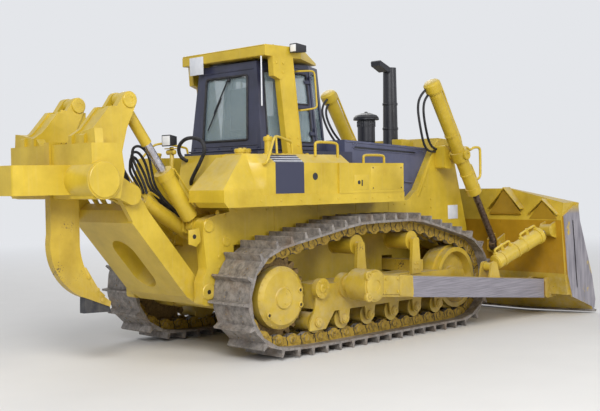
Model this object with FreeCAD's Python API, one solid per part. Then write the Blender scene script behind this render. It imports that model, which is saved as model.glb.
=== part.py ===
import FreeCAD, Part
import math
import os

# Crawler bulldozer with a semi-U blade and a single-shank parallelogram ripper.
# Millimetres. +X points forwards to the blade, +Y to the left, +Z up, shoes stand on Z = 0.
# Sizes along X are counted from the sprocket shaft, and SHIFT_X moves the whole machine at export
# so that the origin lies under the middle of its box.

V = FreeCAD.Vector
SHIFT_X = -1475.0
RUN = 0.3

# Tracks
TRACK_Y = 1050.0
SHOE_W = 610.0
SHOES = 43
LINK_HALF = 70.0
SHOE_T = 28.0
GROUSER_H = 80.0
GROUSER_T = 24.0
RAIL_IN = 92.0
RAIL_OUT = 162.0
SPROCKET_Z = 700.0
SPROCKET_PITCH_R = 496.0
SPROCKET_T = 96.0
SPROCKET_TEETH = 27
IDLER_X = 3400.0
IDLER_PITCH_R = 490.0
CARRIER_X = (1320.0, 2400.0)
CARRIER_PITCH_Z = 1420.0
CARRIER_R = 120.0
CHORD_SAG = 6.0
ROLLER_X0 = 560.0
ROLLER_X1 = 2900.0
ROLLERS = 6
ROLLER_R = 112.0

# Track frames and what carries them
FRAME_HALF = 170.0
FRAME_Z0 = 505.0
FRAME_Z1 = 800.0
FRAME_X0 = 600.0
FRAME_X1 = 2960.0
WEB_T = 22.0
WEB_Z0 = 330.0
WEB_Z1 = 468.0
YOKE_T = 55.0
PIVOT_X = 760.0
PIVOT_Z = 650.0
PIVOT_R = 85.0
EQUALIZER_X = 2700.0
EQUALIZER_W = 190.0
EQUALIZER_H = 150.0

# Final drives
HUB_R = 360.0
HUB_Y = 1300.0
HUB_CORE_R = 200.0
CASE_R = 240.0

# Hull
HULL_HALF = 560.0
HULL_Z0 = 500.0
HULL_Z1 = 1300.0
HULL_X0 = -250.0
DECK_HALF = 715.0
DECK_Z1 = 1745.0
DECK_X1 = 3050.0

# Fenders, tank and side boxes
FENDER_Y = 1215.0
FENDER_Z0 = 1745.0
DECK_PLATE_Z = 1870.0
CONSOLE_Y = 1200.0
TANK_STEP_Y = 610.0
TANK_END_X = -300.0
BOX_X0 = 1040.0
BOX_Y = 1222.0
FENDER_Z1 = 1940.0
FENDER_X0 = -800.0
FENDER_X1 = 2290.0
TANK_TOP_Z = 2345.0
TANK_LEAN_X = 450.0
TANK_LEAN_Y = 180.0
TANK_INNER_X = -500.0
TANK_INNER_Y = 30.0
CONSOLE_X1 = 1250.0
CONSOLE_EDGE_Z = 2240.0
CONSOLE_LEAN = 150.0

# Cab and its two-post roll bar
CAB_X0 = 270.0
CAB_SIDE_X = 1250.0
CAB_X1 = 1640.0
CAB_HALF = 670.0
CAB_NOSE_HALF = 430.0
CAB_Z0 = 2400.0
CAB_Z1 = 3490.0
CAB_TAPER = 0.80
CAB_TAPER_X = 0.915
CAB_WALL = 45.0
DOOR_X0 = 870.0
DOOR_X1 = 1225.0
DOOR_Z0 = 2455.0
DOOR_Z1 = 3440.0
DOOR_GAP = 13.0
HINGE_OUT = 22.0
HINGE_R = 14.0
GLASS_T = 8.0
POST_X0 = 590.0
POST_X1 = 838.0
POST_Y0 = 700.0
POST_Y1 = 785.0
POST_LEAN = -142.0
ROOF_Z0 = 3525.0
ROOF_Z1 = 3655.0
ROOF_HALF = 780.0
ROOF_X0 = 250.0
ROOF_X1 = 1480.0

# Engine, hood and radiator guard
HOOD_X0 = 1870.0
HOOD_X1 = 3750.0
HOOD_HALF = 560.0
HOOD_Z_REAR = 2565.0
HOOD_Z_FRONT = 2470.0
HOOD_WALL = 20.0
ENGINE_X0 = 2080.0
ENGINE_L = 1250.0
ENGINE_HALF = 330.0
ENGINE_H = 600.0
GUARD_HALF = 660.0
GUARD_WALL = 40.0
GUARD_TOP_Z = 2620.0
GUARD_TOP_X0 = 3760.0
GUARD_TOP_X1 = 4060.0
GUARD_FOOT_X = 4440.0
GUARD_FOOT_Z = 620.0
EXHAUST_X = 3490.0
EXHAUST_R = 104.0
EXHAUST_TOP = 3670.0
PRECLEANER_X = 2950.0
PRECLEANER_R = 125.0

# Blade, its arms and its lift cylinders
ARM_PIVOT_X = 1050.0
ARM_PIVOT_Z = 780.0
ARM_Y0 = 1450.0
ARM_Y1 = 1760.0
ARM_END_X = 4780.0
ARM_PIN_X = 4905.0
ARM_PIN_Z = 410.0
BRACE_ARM = (3621.0, -1605.0, 813.0)
BRACE_BLADE = (4743.0, -1855.0, 1275.0)
BRACE_HALF = 66.0
EDGE_Z = 15.0
BLADE_HALF = 2065.0
BLADE_BREAK = 1100.0
BLADE_WING = 300.0
BLADE_TOP_Z = 1870.0
BLADE_LOW_Z = 60.0
BLADE_TOP_X = 4990.0
BLADE_MID_X = 4960.0
BLADE_MID_Z = 1000.0
BLADE_LOW_X = 5380.0
BLADE_PLATE = 40.0
BLADE_BACK_X = 4800.0
SHELF_Z = 1410.0
WING_DROP = 220.0
LIFT_Y = 985.0
LIFT_X = 3836.0
LIFT_Z = 2366.0
LIFT_EYE_X = 4700.0
LIFT_EYE_Z = 1035.0
LIFT_BARREL_R = 95.0
LIFT_ROD_R = 48.0
LIFT_BARREL_UP = 1190.0
LIFT_BARREL_DOWN = 640.0
LIFT_EYE_R = 80.0
LIFT_EYE_T = 110.0

# Ripper
ARM_A = (-640.0, 790.0)
ARM_B = (-1580.0, 1910.0)
HORN_PIN = (-1600.0, 2920.0)
TILT_BASE = (-620.0, 1540.0)
RLIFT_BASE = (-360.0, 1350.0)
RLIFT_EYE = (-1400.0, 1970.0)
OVAL_R = 190.0
OVAL_SHARES = (0.26, 0.50)
RIPPER_HALF = 560.0
BRACKET_Y0 = 585.0
BRACKET_Y1 = 730.0
TILT_Y = 480.0
RLIFT_Y = 235.0
TILT_BARREL_R = 95.0
TILT_ROD_R = 48.0
TILT_BARREL_L = 760.0
RLIFT_BARREL_R = 90.0
RLIFT_ROD_R = 45.0
RLIFT_BARREL_L = 960.0
BEAM_X = -2080.0
BEAM_Z = 2070.0
BEAM_R = 200.0
BEAM_HALF = 850.0
SHANK_T = 100.0
SHANK_X0 = -2230.0
SHANK_X1 = -1875.0
SHANK_TOP = 2480.0
SHANK_FOOT = ((-1830.0, 790.0), (-1500.0, 657.0), (-1485.0, 715.0))


def block(x0, x1, y0, y1, z0, z1):
    """A box from its corner values."""
    return Part.makeBox(abs(x1 - x0), abs(y1 - y0), abs(z1 - z0), V(min(x0, x1), min(y0, y1), min(z0, z1)))


def outline(rows, place):
    """A closed face through rows of (a, b) or (a, b, corner radius), on the plane that place() gives."""
    rows = [tuple(row) + (0.0,) * (3 - len(row)) for row in rows]
    corners = []
    for i, (a, b, r) in enumerate(rows):
        here = V(a, b, 0)
        back = (V(rows[i - 1][0], rows[i - 1][1], 0) - here).normalize()
        ahead = rows[(i + 1) % len(rows)]
        on = (V(ahead[0], ahead[1], 0) - here).normalize()
        if r == 0:
            corners.append((here, here, here))
            continue
        half = back.getAngle(on) / 2
        reach = r / math.tan(half)
        middle = here + (back + on).normalize() * (r / math.sin(half) - r)
        corners.append((here + back * reach, middle, here + on * reach))
    edges = []
    for i, (start, middle, end) in enumerate(corners):
        if start != end:
            edges.append(Part.Arc(place(start), place(middle), place(end)).toShape())
        ahead = corners[(i + 1) % len(corners)][0]
        if (ahead - end).Length > 1e-6:
            edges.append(Part.LineSegment(place(end), place(ahead)).toShape())
    return Part.Face(Part.Wire(edges))


def side(rows, y0, y1):
    """An (x, z) outline carried across from y0 to y1."""
    return outline(rows, lambda p: V(p.x, y0, p.y)).extrude(V(0, y1 - y0, 0))


def front(rows, x0, x1):
    """A (y, z) outline carried along from x0 to x1."""
    return outline(rows, lambda p: V(x0, p.x, p.y)).extrude(V(x1 - x0, 0, 0))


def plan(rows, z0, z1):
    """An (x, y) outline carried up from z0 to z1."""
    return outline(rows, lambda p: V(p.x, p.y, z0)).extrude(V(0, 0, z1 - z0))


def bar(start, end, radius):
    """A round bar between two points."""
    start, end = V(*start), V(*end)
    return Part.makeCylinder(radius, (end - start).Length, start, end - start)


def across(x, z, radius, y0, y1):
    """A round bar along Y."""
    return bar((x, y0, z), (x, y1, z), radius)


def fuse(shapes):
    """Touching or overlapping shapes as one solid, with leftover seams taken out."""
    whole = shapes[0].multiFuse(shapes[1:]) if len(shapes) > 1 else shapes[0]
    return whole.removeSplitter()


def mirrored(shape):
    """The same shape on the other side of the machine."""
    return shape.mirror(V(0, 0, 0), V(0, 1, 0))


def pair(shape):
    """A left shape and its right twin as separate solids."""
    return Part.makeCompound([shape, mirrored(shape)])


def revolved(rows, axis_point, axis):
    """(distance along the axis, radius) rows turned about the axis."""
    along = V(*axis).normalize()
    away = along.cross(V(0, 0, 1)) if abs(along.z) < 0.9 else V(1, 0, 0)
    away.normalize()
    base = V(*axis_point)
    face = outline(rows, lambda p: base + along * p.x + away * p.y)
    return face.revolve(base, along, 360)


def put(node, shape):
    """Moves a piece to the machine's origin and writes it."""
    solids = [s for s in shape.Solids]
    moved = (solids[0] if len(solids) == 1 else Part.makeCompound(solids)).translated(V(SHIFT_X, 0, 0))
    moved.exportStep("parts/" + node + ".step")


# Track path: a belt drawn round sprocket, carrier rollers, idler and track rollers

BELT_Z = LINK_HALF + SHOE_T + GROUSER_H
CARRIER_Z = CARRIER_PITCH_Z - LINK_HALF - RUN - CARRIER_R
IDLER_Z = BELT_Z + IDLER_PITCH_R
ROLLER_Z = BELT_Z + LINK_HALF + RUN + ROLLER_R


def belt(circles, count):
    """Evenly spaced (x, z, heading) along the belt round (x, z, radius) circles, taken clockwise."""
    pieces = []
    angles = []
    for i, (x, z, r) in enumerate(circles):
        x2, z2, r2 = circles[(i + 1) % len(circles)]
        apart = math.hypot(x2 - x, z2 - z)
        angles.append(math.atan2(z2 - z, x2 - x) + math.asin((r2 - r) / apart) + math.pi / 2)
    for i, (x, z, r) in enumerate(circles):
        first = angles[i - 1]
        turn = (first - angles[i]) % (2 * math.pi)
        pieces.append(("arc", x, z, r, first, turn, r * turn))
        x2, z2, r2 = circles[(i + 1) % len(circles)]
        a = angles[i]
        start = (x + r * math.cos(a), z + r * math.sin(a))
        end = (x2 + r2 * math.cos(a), z2 + r2 * math.sin(a))
        pieces.append(("line", start, end, a, math.dist(start, end)))
    total = sum(piece[-1] for piece in pieces)
    places = []
    for k in range(count):
        left = total * k / count
        for piece in pieces:
            if left <= piece[-1]:
                break
            left -= piece[-1]
        if piece[0] == "arc":
            a = piece[4] - left / piece[3]
            x, z, r = piece[1:4]
            places.append((x + r * math.cos(a), z + r * math.sin(a), a - math.pi / 2))
        else:
            (x0, z0), (x1, z1), a, length = piece[1:]
            f = left / length
            places.append((x0 + f * (x1 - x0), z0 + f * (z1 - z0), a - math.pi / 2))
    return places, total / count


WHEELS = [
    (0.0, SPROCKET_Z, SPROCKET_PITCH_R),
    (CARRIER_X[0], CARRIER_Z, CARRIER_R + LINK_HALF + RUN),
    (CARRIER_X[1], CARRIER_Z, CARRIER_R + LINK_HALF + RUN),
    (IDLER_X, IDLER_Z, IDLER_PITCH_R),
    (ROLLER_X0, ROLLER_Z, ROLLER_R + LINK_HALF + RUN),
]
PINS, PITCH = belt(WHEELS, SHOES)


def track():
    """One closed chain: a band of shoes with a grouser each, and two link rails under it."""
    band = []
    inner = []
    rail = []
    rail_in = []
    for i, (x0, z0, h0) in enumerate(PINS):
        x1, z1, h1 = PINS[(i + 1) % SHOES]
        along = V(x1 - x0, z1 - z0, 0).normalize()
        out = V(-along.y, along.x, 0)
        foot = V(x0, z0, 0)
        length = math.hypot(x1 - x0, z1 - z0)
        # shoe rows: share of the pitch, height over the pin line
        for share, height in ((0.02, LINK_HALF + SHOE_T), (0.06, LINK_HALF + SHOE_T + GROUSER_H),
                              (0.06 + GROUSER_T / length, LINK_HALF + SHOE_T + GROUSER_H),
                              (0.24, LINK_HALF + SHOE_T), (0.97, LINK_HALF + SHOE_T)):
            p = foot + along * (share * length) + out * height
            band.append((p.x, p.y))
        p = foot + along * (0.5 * length) + out * LINK_HALF
        inner.append((p.x, p.y))
        for share, height in ((0.14, LINK_HALF), (0.36, 0.55 * LINK_HALF), (0.64, 0.55 * LINK_HALF),
                              (0.86, LINK_HALF)):
            p = foot + along * (share * length) - out * height
            rail_in.append((p.x, p.y))
    shoes = side(band, TRACK_Y - SHOE_W / 2, TRACK_Y + SHOE_W / 2)
    shoes = shoes.cut(side(inner, TRACK_Y - SHOE_W, TRACK_Y + SHOE_W))
    rail = side(inner, TRACK_Y + RAIL_IN, TRACK_Y + RAIL_OUT)
    rail = rail.cut(side(rail_in, TRACK_Y, TRACK_Y + 2 * RAIL_OUT))
    twin = rail.translated(V(0, -RAIL_IN - RAIL_OUT, 0))
    return fuse([shoes, rail, twin])


def sprocket():
    """Toothed ring, its teeth between the two link rails."""
    rows = []
    for i in range(SPROCKET_TEETH):
        # tooth rows: share of a tooth's angle, radius
        for share, radius in ((0.10, 445.0), (0.32, 515.0), (0.68, 515.0), (0.90, 445.0)):
            a = 2 * math.pi * (i + share) / SPROCKET_TEETH
            rows.append((radius * math.cos(a), SPROCKET_Z + radius * math.sin(a)))
    ring = side(rows, TRACK_Y - SPROCKET_T / 2, TRACK_Y + SPROCKET_T / 2)
    return ring.cut(across(0, SPROCKET_Z, HUB_CORE_R, TRACK_Y - SPROCKET_T, TRACK_Y + SPROCKET_T))


def final_drive():
    """Stepped gear case, clamped round the sprocket, with the plain domed cover outside."""
    inner = TRACK_Y - SPROCKET_T / 2
    outer = TRACK_Y + SPROCKET_T / 2
    rows = [(HULL_HALF, 0), (HULL_HALF, CASE_R), (inner - 90, CASE_R), (inner, CASE_R - 40),
            (inner, HUB_CORE_R - RUN), (outer, HUB_CORE_R - RUN), (outer, HUB_R - 30), (outer + 40, HUB_R),
            (HUB_Y - 55, HUB_R), (HUB_Y - 12, HUB_R - 55), (HUB_Y - 12, 130), (HUB_Y, 120), (HUB_Y, 0)]
    return revolved(rows, (0, 0, SPROCKET_Z), (0, 1, 0))


def roller(x, z, radius, half, shaft, flange):
    """Double-flanged roller with its shaft, its treads under the link rails."""
    edge = RAIL_OUT + 6
    profile = [(edge, radius), (edge, radius + flange), (edge + 16, radius + flange), (edge + 16, shaft),
               (half, shaft), (half, 0)]
    rows = [(TRACK_Y - y, r) for y, r in reversed(profile)] + [(TRACK_Y + y, r) for y, r in profile]
    return revolved(rows, (x, 0, z), (0, 1, 0))


WEB_Y = FRAME_HALF + 45.0


def track_rollers():
    """The row of rollers under one frame, each shaft ending on the frame's two webs."""
    step = (ROLLER_X1 - ROLLER_X0) / (ROLLERS - 1)
    return [roller(ROLLER_X0 + i * step, ROLLER_Z, ROLLER_R, WEB_Y, 45, 16) for i in range(ROLLERS)]


def carrier_rollers():
    """Two rollers that carry the upper run, each on a shaft held by its post."""
    return [roller(x, CARRIER_Z, CARRIER_R - CHORD_SAG, WEB_Y, 45, 12) for x in CARRIER_X]


def idler():
    """Front wheel with a centre flange between the rails, and its shaft."""
    tread = IDLER_PITCH_R - LINK_HALF - CHORD_SAG
    half = [(RAIL_IN - 18, tread + 30), (RAIL_IN - 18, tread), (RAIL_OUT, tread), (RAIL_OUT, tread - 60),
            (60, tread - 90), (60, 150), (100, 150), (100, 60), (WEB_Y, 60), (WEB_Y, 0)]
    rows = [(TRACK_Y - y, r) for y, r in reversed(half)] + [(TRACK_Y + y, r) for y, r in half]
    return revolved(rows, (IDLER_X, 0, IDLER_Z), (0, 1, 0))


def track_frame():
    """Box beam with two webs, roller brackets, idler arms, carrier posts and the arm's trunnion."""
    hi = TRACK_Y + FRAME_HALF
    beam = block(FRAME_X0, FRAME_X1 - 30, TRACK_Y - WEB_Y, TRACK_Y + WEB_Y, FRAME_Z0, FRAME_Z1)
    shapes = [beam]
    step = (ROLLER_X1 - ROLLER_X0) / (ROLLERS - 1)
    for y in (TRACK_Y - WEB_Y - WEB_T, TRACK_Y + WEB_Y):
        rows = [(FRAME_X0 - 180, WEB_Z0 - 60), (FRAME_X0 + 90, WEB_Z0 - 60), (FRAME_X0 + 250, WEB_Z1),
                (FRAME_X1 + 60, WEB_Z1), (FRAME_X1 + 60, FRAME_Z0 + 40), (IDLER_X + 80, IDLER_Z - 110, 40),
                (IDLER_X + 80, IDLER_Z + 110, 40), (FRAME_X1 + 60, FRAME_Z1), (FRAME_X0 - 60, FRAME_Z1),
                (FRAME_X0 - 180, FRAME_Z1 - 280)]
        web = side(rows, y, y + WEB_T)
        clear = across(0, SPROCKET_Z, 535, y - 1, y + WEB_T + 1)
        shapes.append(web.cut(clear))
        for i in range(1, ROLLERS):
            x = ROLLER_X0 + i * step
            hanger = [(x - 100, WEB_Z1 + 20), (x - 62, ROLLER_Z - 66, 40), (x + 62, ROLLER_Z - 66, 40),
                      (x + 100, WEB_Z1 + 20)]
            shapes.append(side(hanger, y, y + WEB_T))
    for i in range(ROLLERS):
        x = ROLLER_X0 + i * step
        shapes.append(across(x, ROLLER_Z, 58, TRACK_Y + WEB_Y + WEB_T - 1, TRACK_Y + WEB_Y + WEB_T + 22))
    for x in CARRIER_X:
        post_rows = [(x - 100, FRAME_Z1 - 1), (x - 60, CARRIER_Z + 40, 30), (x + 60, CARRIER_Z + 40, 30),
                     (x + 100, FRAME_Z1 - 1)]
        shapes.append(side(post_rows, TRACK_Y + WEB_Y, TRACK_Y + WEB_Y + 45))
    shapes.append(across(ARM_PIVOT_X, ARM_PIVOT_Z, 100, hi, ARM_Y1 - 60))
    shapes.append(across(ARM_PIVOT_X, ARM_PIVOT_Z - 20, 150, hi, TRACK_Y + WEB_Y + WEB_T + 40))
    # housing of the cross shaft on which the frame rocks
    shapes.append(across(PIVOT_X - 160, FRAME_Z1 - 40, 120, TRACK_Y + WEB_Y, TRACK_Y + WEB_Y + 70))
    return fuse(shapes)


def hull():
    """Welded main frame: lower box between the tracks, wider deck above them."""
    lower = side([(HULL_X0, 640), (HULL_X0 + 160, HULL_Z0), (3900, HULL_Z0), (4040, GUARD_FOOT_Z),
                  (4040, 1040), (3060, HULL_Z1), (HULL_X0, HULL_Z1)], -HULL_HALF, HULL_HALF)
    deck = block(HULL_X0, DECK_X1, -DECK_HALF, DECK_HALF, HULL_Z1, DECK_Z1)
    nose = block(DECK_X1 - 1, 3300, -HULL_HALF, HULL_HALF, HULL_Z1 - 200, DECK_Z1)
    reach = EQUALIZER_W / 2 + 15
    top = FRAME_Z1 + EQUALIZER_H
    tunnel = block(EQUALIZER_X - reach, EQUALIZER_X + reach, -DECK_HALF, DECK_HALF, FRAME_Z1 - 20, top + 40)
    whole = fuse([lower, deck, nose]).cut(tunnel)
    saddle = block(EQUALIZER_X - 60, EQUALIZER_X + 60, -100, 100, top, top + 41)
    return fuse([whole, saddle])


def radiator_guard():
    """Thick side plates, a top plate and a front frame round the radiator, with the slanted rear edge."""
    rows = [(GUARD_TOP_X0, GUARD_TOP_Z), (GUARD_TOP_X1, GUARD_TOP_Z - 20, 30), (GUARD_FOOT_X, 1300),
            (GUARD_FOOT_X, 760), (4330, GUARD_FOOT_Z), (3600, GUARD_FOOT_Z), (3600, 1000), (DECK_X1, 1200),
            (DECK_X1, DECK_Z1), (3255, 1880)]
    shell = side(rows, -GUARD_HALF, GUARD_HALF)
    room = side([(GUARD_TOP_X0 + 15, GUARD_TOP_Z - 45), (GUARD_TOP_X1 - 45, GUARD_TOP_Z - 65),
                 (GUARD_FOOT_X - 60, 1300), (GUARD_FOOT_X - 60, 1290), (3110, 1290), (3110, DECK_Z1),
                 (3290, 1880)], -GUARD_HALF + GUARD_WALL, GUARD_HALF - GUARD_WALL)
    window = block(4000, 4600, -GUARD_HALF + 110, GUARD_HALF - 110, 1400, 2480)
    return shell.cut(room).cut(window).cut(hood_form()).cut(hull())


def radiator_core():
    """Cooling core that closes the guard behind the grille."""
    half = GUARD_HALF - GUARD_WALL
    return side([(3800, 2520), (3940, 2520), (4220, 1290), (4060, 1290)], -half, half)


def radiator_grille():
    """Flat bars across the guard's window, standing on its front frame."""
    half = GUARD_HALF - 110
    lean = (GUARD_FOOT_X - GUARD_TOP_X1) / (GUARD_TOP_Z - 20 - 1300)
    bars = []
    for i in range(9):
        z = 1420 + i * 120
        x = GUARD_FOOT_X - (z - 1300) * lean
        bars.append(block(x - 45, x - 15, -half, half, z, z + 45))
    for y in (-half, -18, half - 36):
        x0 = GUARD_FOOT_X - 100 * lean
        x1 = GUARD_FOOT_X - (2480 - 1300) * lean
        bars.append(side([(x0 - 50, 1400), (x0 - 20, 1400), (x1 - 20, 2480), (x1 - 50, 2480)], y, y + 36))
    return fuse(bars)


def hood_form():
    """The hood's outer form."""
    rows = [(HOOD_X0, DECK_Z1), (HOOD_X0, HOOD_Z_REAR), (HOOD_X1, HOOD_Z_FRONT), (3313, 1880),
            (3220, DECK_Z1)]
    return side(rows, -HOOD_HALF, HOOD_HALF)


def hood():
    """Sheet hood over the engine: sloping top and two sides, open below and at its ends."""
    skin = hood_form()
    half = HOOD_HALF - HOOD_WALL
    room = side([(HOOD_X0 + HOOD_WALL, DECK_Z1 - 10), (HOOD_X0 + HOOD_WALL, HOOD_Z_REAR - HOOD_WALL),
                 (HOOD_X1 + 100, HOOD_Z_FRONT - HOOD_WALL), (HOOD_X1 + 100, DECK_Z1 - 10)], -half, half)
    return skin.cut(room)


def under_hood_top():
    """All that lies below the hood's sloping top."""
    past = 400
    drop = past * (HOOD_Z_REAR - HOOD_Z_FRONT) / (HOOD_X1 - HOOD_X0)
    return side([(HOOD_X0, 0), (HOOD_X1 + past, 0), (HOOD_X1 + past, HOOD_Z_FRONT - drop),
                 (HOOD_X0, HOOD_Z_REAR)], -HOOD_HALF, HOOD_HALF)


def exhaust():
    """Tall tapered stack with its rain flap swung open at the rear of the mouth."""
    foot = HOOD_Z_REAR - (EXHAUST_X - HOOD_X0) * (HOOD_Z_REAR - HOOD_Z_FRONT) / (HOOD_X1 - HOOD_X0)
    stack = Part.makeCone(EXHAUST_R + 8, EXHAUST_R - 8, EXHAUST_TOP - foot + 14, V(EXHAUST_X, 0, foot - 14))
    bore = Part.makeCylinder(EXHAUST_R - 22, 600, V(EXHAUST_X, 0, EXHAUST_TOP - 600))
    rear = EXHAUST_X - EXHAUST_R + 12
    top = EXHAUST_TOP
    flap = side([(rear - 230, top + 68), (rear - 215, top + 84), (rear + 6, top - 4), (rear + 6, top - 60),
                 (rear - 50, top - 70), (rear - 225, top + 10)], -EXHAUST_R + 20, EXHAUST_R - 20)
    return fuse([stack, flap]).cut(bore).cut(under_hood_top())


def precleaner():
    """Round air bowl with a mushroom cap, on the hood."""
    foot = HOOD_Z_REAR - (PRECLEANER_X - HOOD_X0) * (HOOD_Z_REAR - HOOD_Z_FRONT) / (HOOD_X1 - HOOD_X0)
    rows = [(-8, 0), (-8, 100), (75, PRECLEANER_R), (300, PRECLEANER_R), (300, PRECLEANER_R + 8),
            (325, PRECLEANER_R + 8), (325, PRECLEANER_R), (390, PRECLEANER_R), (395, 172), (412, 181),
            (445, 150), (478, 60), (482, 0)]
    return revolved(rows, (PRECLEANER_X, 0, foot), (0, 0, 1)).cut(under_hood_top())


def fender(rear_x):
    """Right deck over the track, from rear_x to the hood's front box, thicker under the tank."""
    deck = side([(rear_x, FENDER_Z0 + 60), (rear_x + 60, FENDER_Z0), (FENDER_X1, FENDER_Z0),
                 (FENDER_X1, DECK_PLATE_Z), (TANK_END_X + 60, DECK_PLATE_Z), (TANK_END_X, FENDER_Z1),
                 (rear_x, FENDER_Z1)], -FENDER_Y, -DECK_HALF)
    shelf = block(rear_x, HULL_X0 - 5, -DECK_HALF - 1, -TANK_STEP_Y, FENDER_Z0 + 60, FENDER_Z1)
    return fuse([deck, shelf])


def console():
    """Box on the fender beside the cab: bevelled top edge, rear corner bent to meet the tank's lean."""
    wall_y = -DECK_HALF - 5
    rows = [(-CONSOLE_Y, DECK_PLATE_Z), (-CONSOLE_Y, CONSOLE_EDGE_Z),
            (-CONSOLE_Y + CONSOLE_LEAN, TANK_TOP_Z), (wall_y, TANK_TOP_Z), (wall_y, DECK_PLATE_Z)]
    share = (CONSOLE_EDGE_Z - FENDER_Z1) / (TANK_TOP_Z - FENDER_Z1)
    lean_rows = [(-CONSOLE_Y, FENDER_Z1), (-CONSOLE_Y + share * TANK_LEAN_Y, CONSOLE_EDGE_Z),
                 (-CONSOLE_Y + TANK_LEAN_Y, TANK_TOP_Z), (wall_y, TANK_TOP_Z), (wall_y, FENDER_Z1)]
    corner_x = TANK_END_X + 150
    rings = []
    for x, ring in ((TANK_END_X, lean_rows), (corner_x, [(y, max(z, FENDER_Z1)) for y, z in rows])):
        rings.append(Part.makePolygon([V(x, y, z) for y, z in ring + ring[:1]]))
    corner = Part.makeLoft(rings, True, True)
    foot = block(TANK_END_X, corner_x + 1, -CONSOLE_Y, wall_y, DECK_PLATE_Z, FENDER_Z1 + 1)
    body = fuse([front(rows, corner_x, CONSOLE_X1), corner, foot])
    return body.cut(block(BOX_X0, FENDER_X1, -FENDER_Y - 50, wall_y + 50, FENDER_Z0, CONSOLE_EDGE_Z))


def side_box():
    """Locker in front of the console, standing a plate's thickness proud of it."""
    return block(BOX_X0, FENDER_X1 - 20, -BOX_Y, -DECK_HALF - 5, DECK_PLATE_Z, CONSOLE_EDGE_Z)


def fuel_tank():
    """Rear tank: its outer end tapers in towards the top, its inner end steps round the ripper cylinder."""
    outer_low = [(FENDER_X0, -CONSOLE_Y), (TANK_END_X, -CONSOLE_Y), (TANK_END_X, -TANK_STEP_Y),
                 (FENDER_X0, -TANK_STEP_Y)]
    outer_top = [(FENDER_X0 + TANK_LEAN_X, -CONSOLE_Y + TANK_LEAN_Y), (TANK_END_X, -CONSOLE_Y + TANK_LEAN_Y),
                 (TANK_END_X, -TANK_STEP_Y), (FENDER_X0 + TANK_LEAN_X, -TANK_STEP_Y)]
    low = Part.makePolygon([V(x, y, FENDER_Z1) for x, y in outer_low + outer_low[:1]])
    top = Part.makePolygon([V(x, y, TANK_TOP_Z) for x, y in outer_top + outer_top[:1]])
    outer = Part.makeLoft([low, top], True, True)
    inner = side([(TANK_INNER_X, DECK_Z1), (CAB_X0 - 90, DECK_Z1), (CAB_X0 - 90, TANK_TOP_Z),
                  (TANK_INNER_X + 120, TANK_TOP_Z)], -DECK_HALF, TANK_INNER_Y)
    inner = inner.cut(block(HULL_X0 - 400, HULL_X0 - 5, -DECK_HALF - 1, -TANK_STEP_Y, FENDER_Z0, FENDER_Z1))
    return fuse([outer, inner])


def cab_frustum(inset):
    """The cab's tapering outer form, drawn in by inset on every side."""
    low = [(CAB_X0 + inset, CAB_HALF - inset), (CAB_SIDE_X - 0.2 * inset, CAB_HALF - inset),
           (CAB_X1 - inset, CAB_NOSE_HALF - 0.6 * inset)]
    low += [(x, -y) for x, y in reversed(low)]
    z0 = CAB_Z0 + inset
    z1 = CAB_Z1 - inset
    middle = CAB_X0 + 0.55 * (CAB_X1 - CAB_X0)
    rings = []
    for z in (z0, z1):
        share = (z - CAB_Z0) / (CAB_Z1 - CAB_Z0)
        taper_x = 1 - (1 - CAB_TAPER_X) * share
        taper_y = 1 - (1 - CAB_TAPER) * share
        rows = [V(middle + (x - middle) * taper_x, y * taper_y, z) for x, y in low]
        rings.append(Part.makePolygon(rows + rows[:1]))
    return Part.makeLoft(rings, True, True)


# cab windows: corners with their radius
REAR_WINDOW = [(-420, 2540, 60), (420, 2540, 60), (385, 3330, 80), (-385, 3330, 80)]
FRONT_WINDOW = [(-350, 2520, 25), (350, 2520, 25), (270, 3400, 25), (-270, 3400, 25)]
SIDE_WINDOW = [(390, 2540, 40), (790, 2540, 40), (790, 3370, 40), (430, 3370, 40)]
NOSE_WINDOW = [(1300, 2520, 25), (1560, 2520, 25), (1500, 3390, 25), (1280, 3390, 25)]
DOOR_UPPER = [(930, 2990, 25), (1165, 2990, 25), (1165, 3370, 25), (930, 3370, 25)]
DOOR_LOWER = [(930, 2510, 25), (1165, 2510, 25), (1165, 2930, 25), (930, 2930, 25)]


def door_prism(gap):
    """What the door takes out of the right wall, smaller by gap on every side."""
    return side([(DOOR_X0 + gap, DOOR_Z0 + gap), (DOOR_X1 - gap, DOOR_Z0 + gap),
                 (DOOR_X1 - gap, DOOR_Z1 - gap), (DOOR_X0 + gap, DOOR_Z1 - gap)], -900, -380)


def door_line(share, out):
    """A point by the door's front edge: share of the cab's height, distance out from the right wall."""
    slope = CAB_HALF * (1 - CAB_TAPER)
    height = CAB_Z1 - CAB_Z0
    length = math.hypot(slope, height)
    return V(DOOR_X1 - DOOR_GAP, -CAB_HALF + slope * share - out * height / length,
             CAB_Z0 + height * share + out * slope / length)


def hinge_half(share, ahead, reach, root):
    """Half of a hinge barrel round share of the cab's height, its leaf going ahead (1) or back (-1)."""
    low, high = (door_line(share + step, HINGE_OUT) for step in (-0.022, 0.022))
    ring = [(0, 0), (reach, 0), (reach, HINGE_OUT + 8), (root, HINGE_OUT + 8), (0, 0)]
    foot = low + (high - low) * 0.05
    leaf = Part.Face(Part.makePolygon([foot + V(ahead * x, y, 0) for x, y in ring]))
    return [bar(tuple(low), tuple(high), HINGE_R), leaf.extrude((high - low) * 0.9)]


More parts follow.
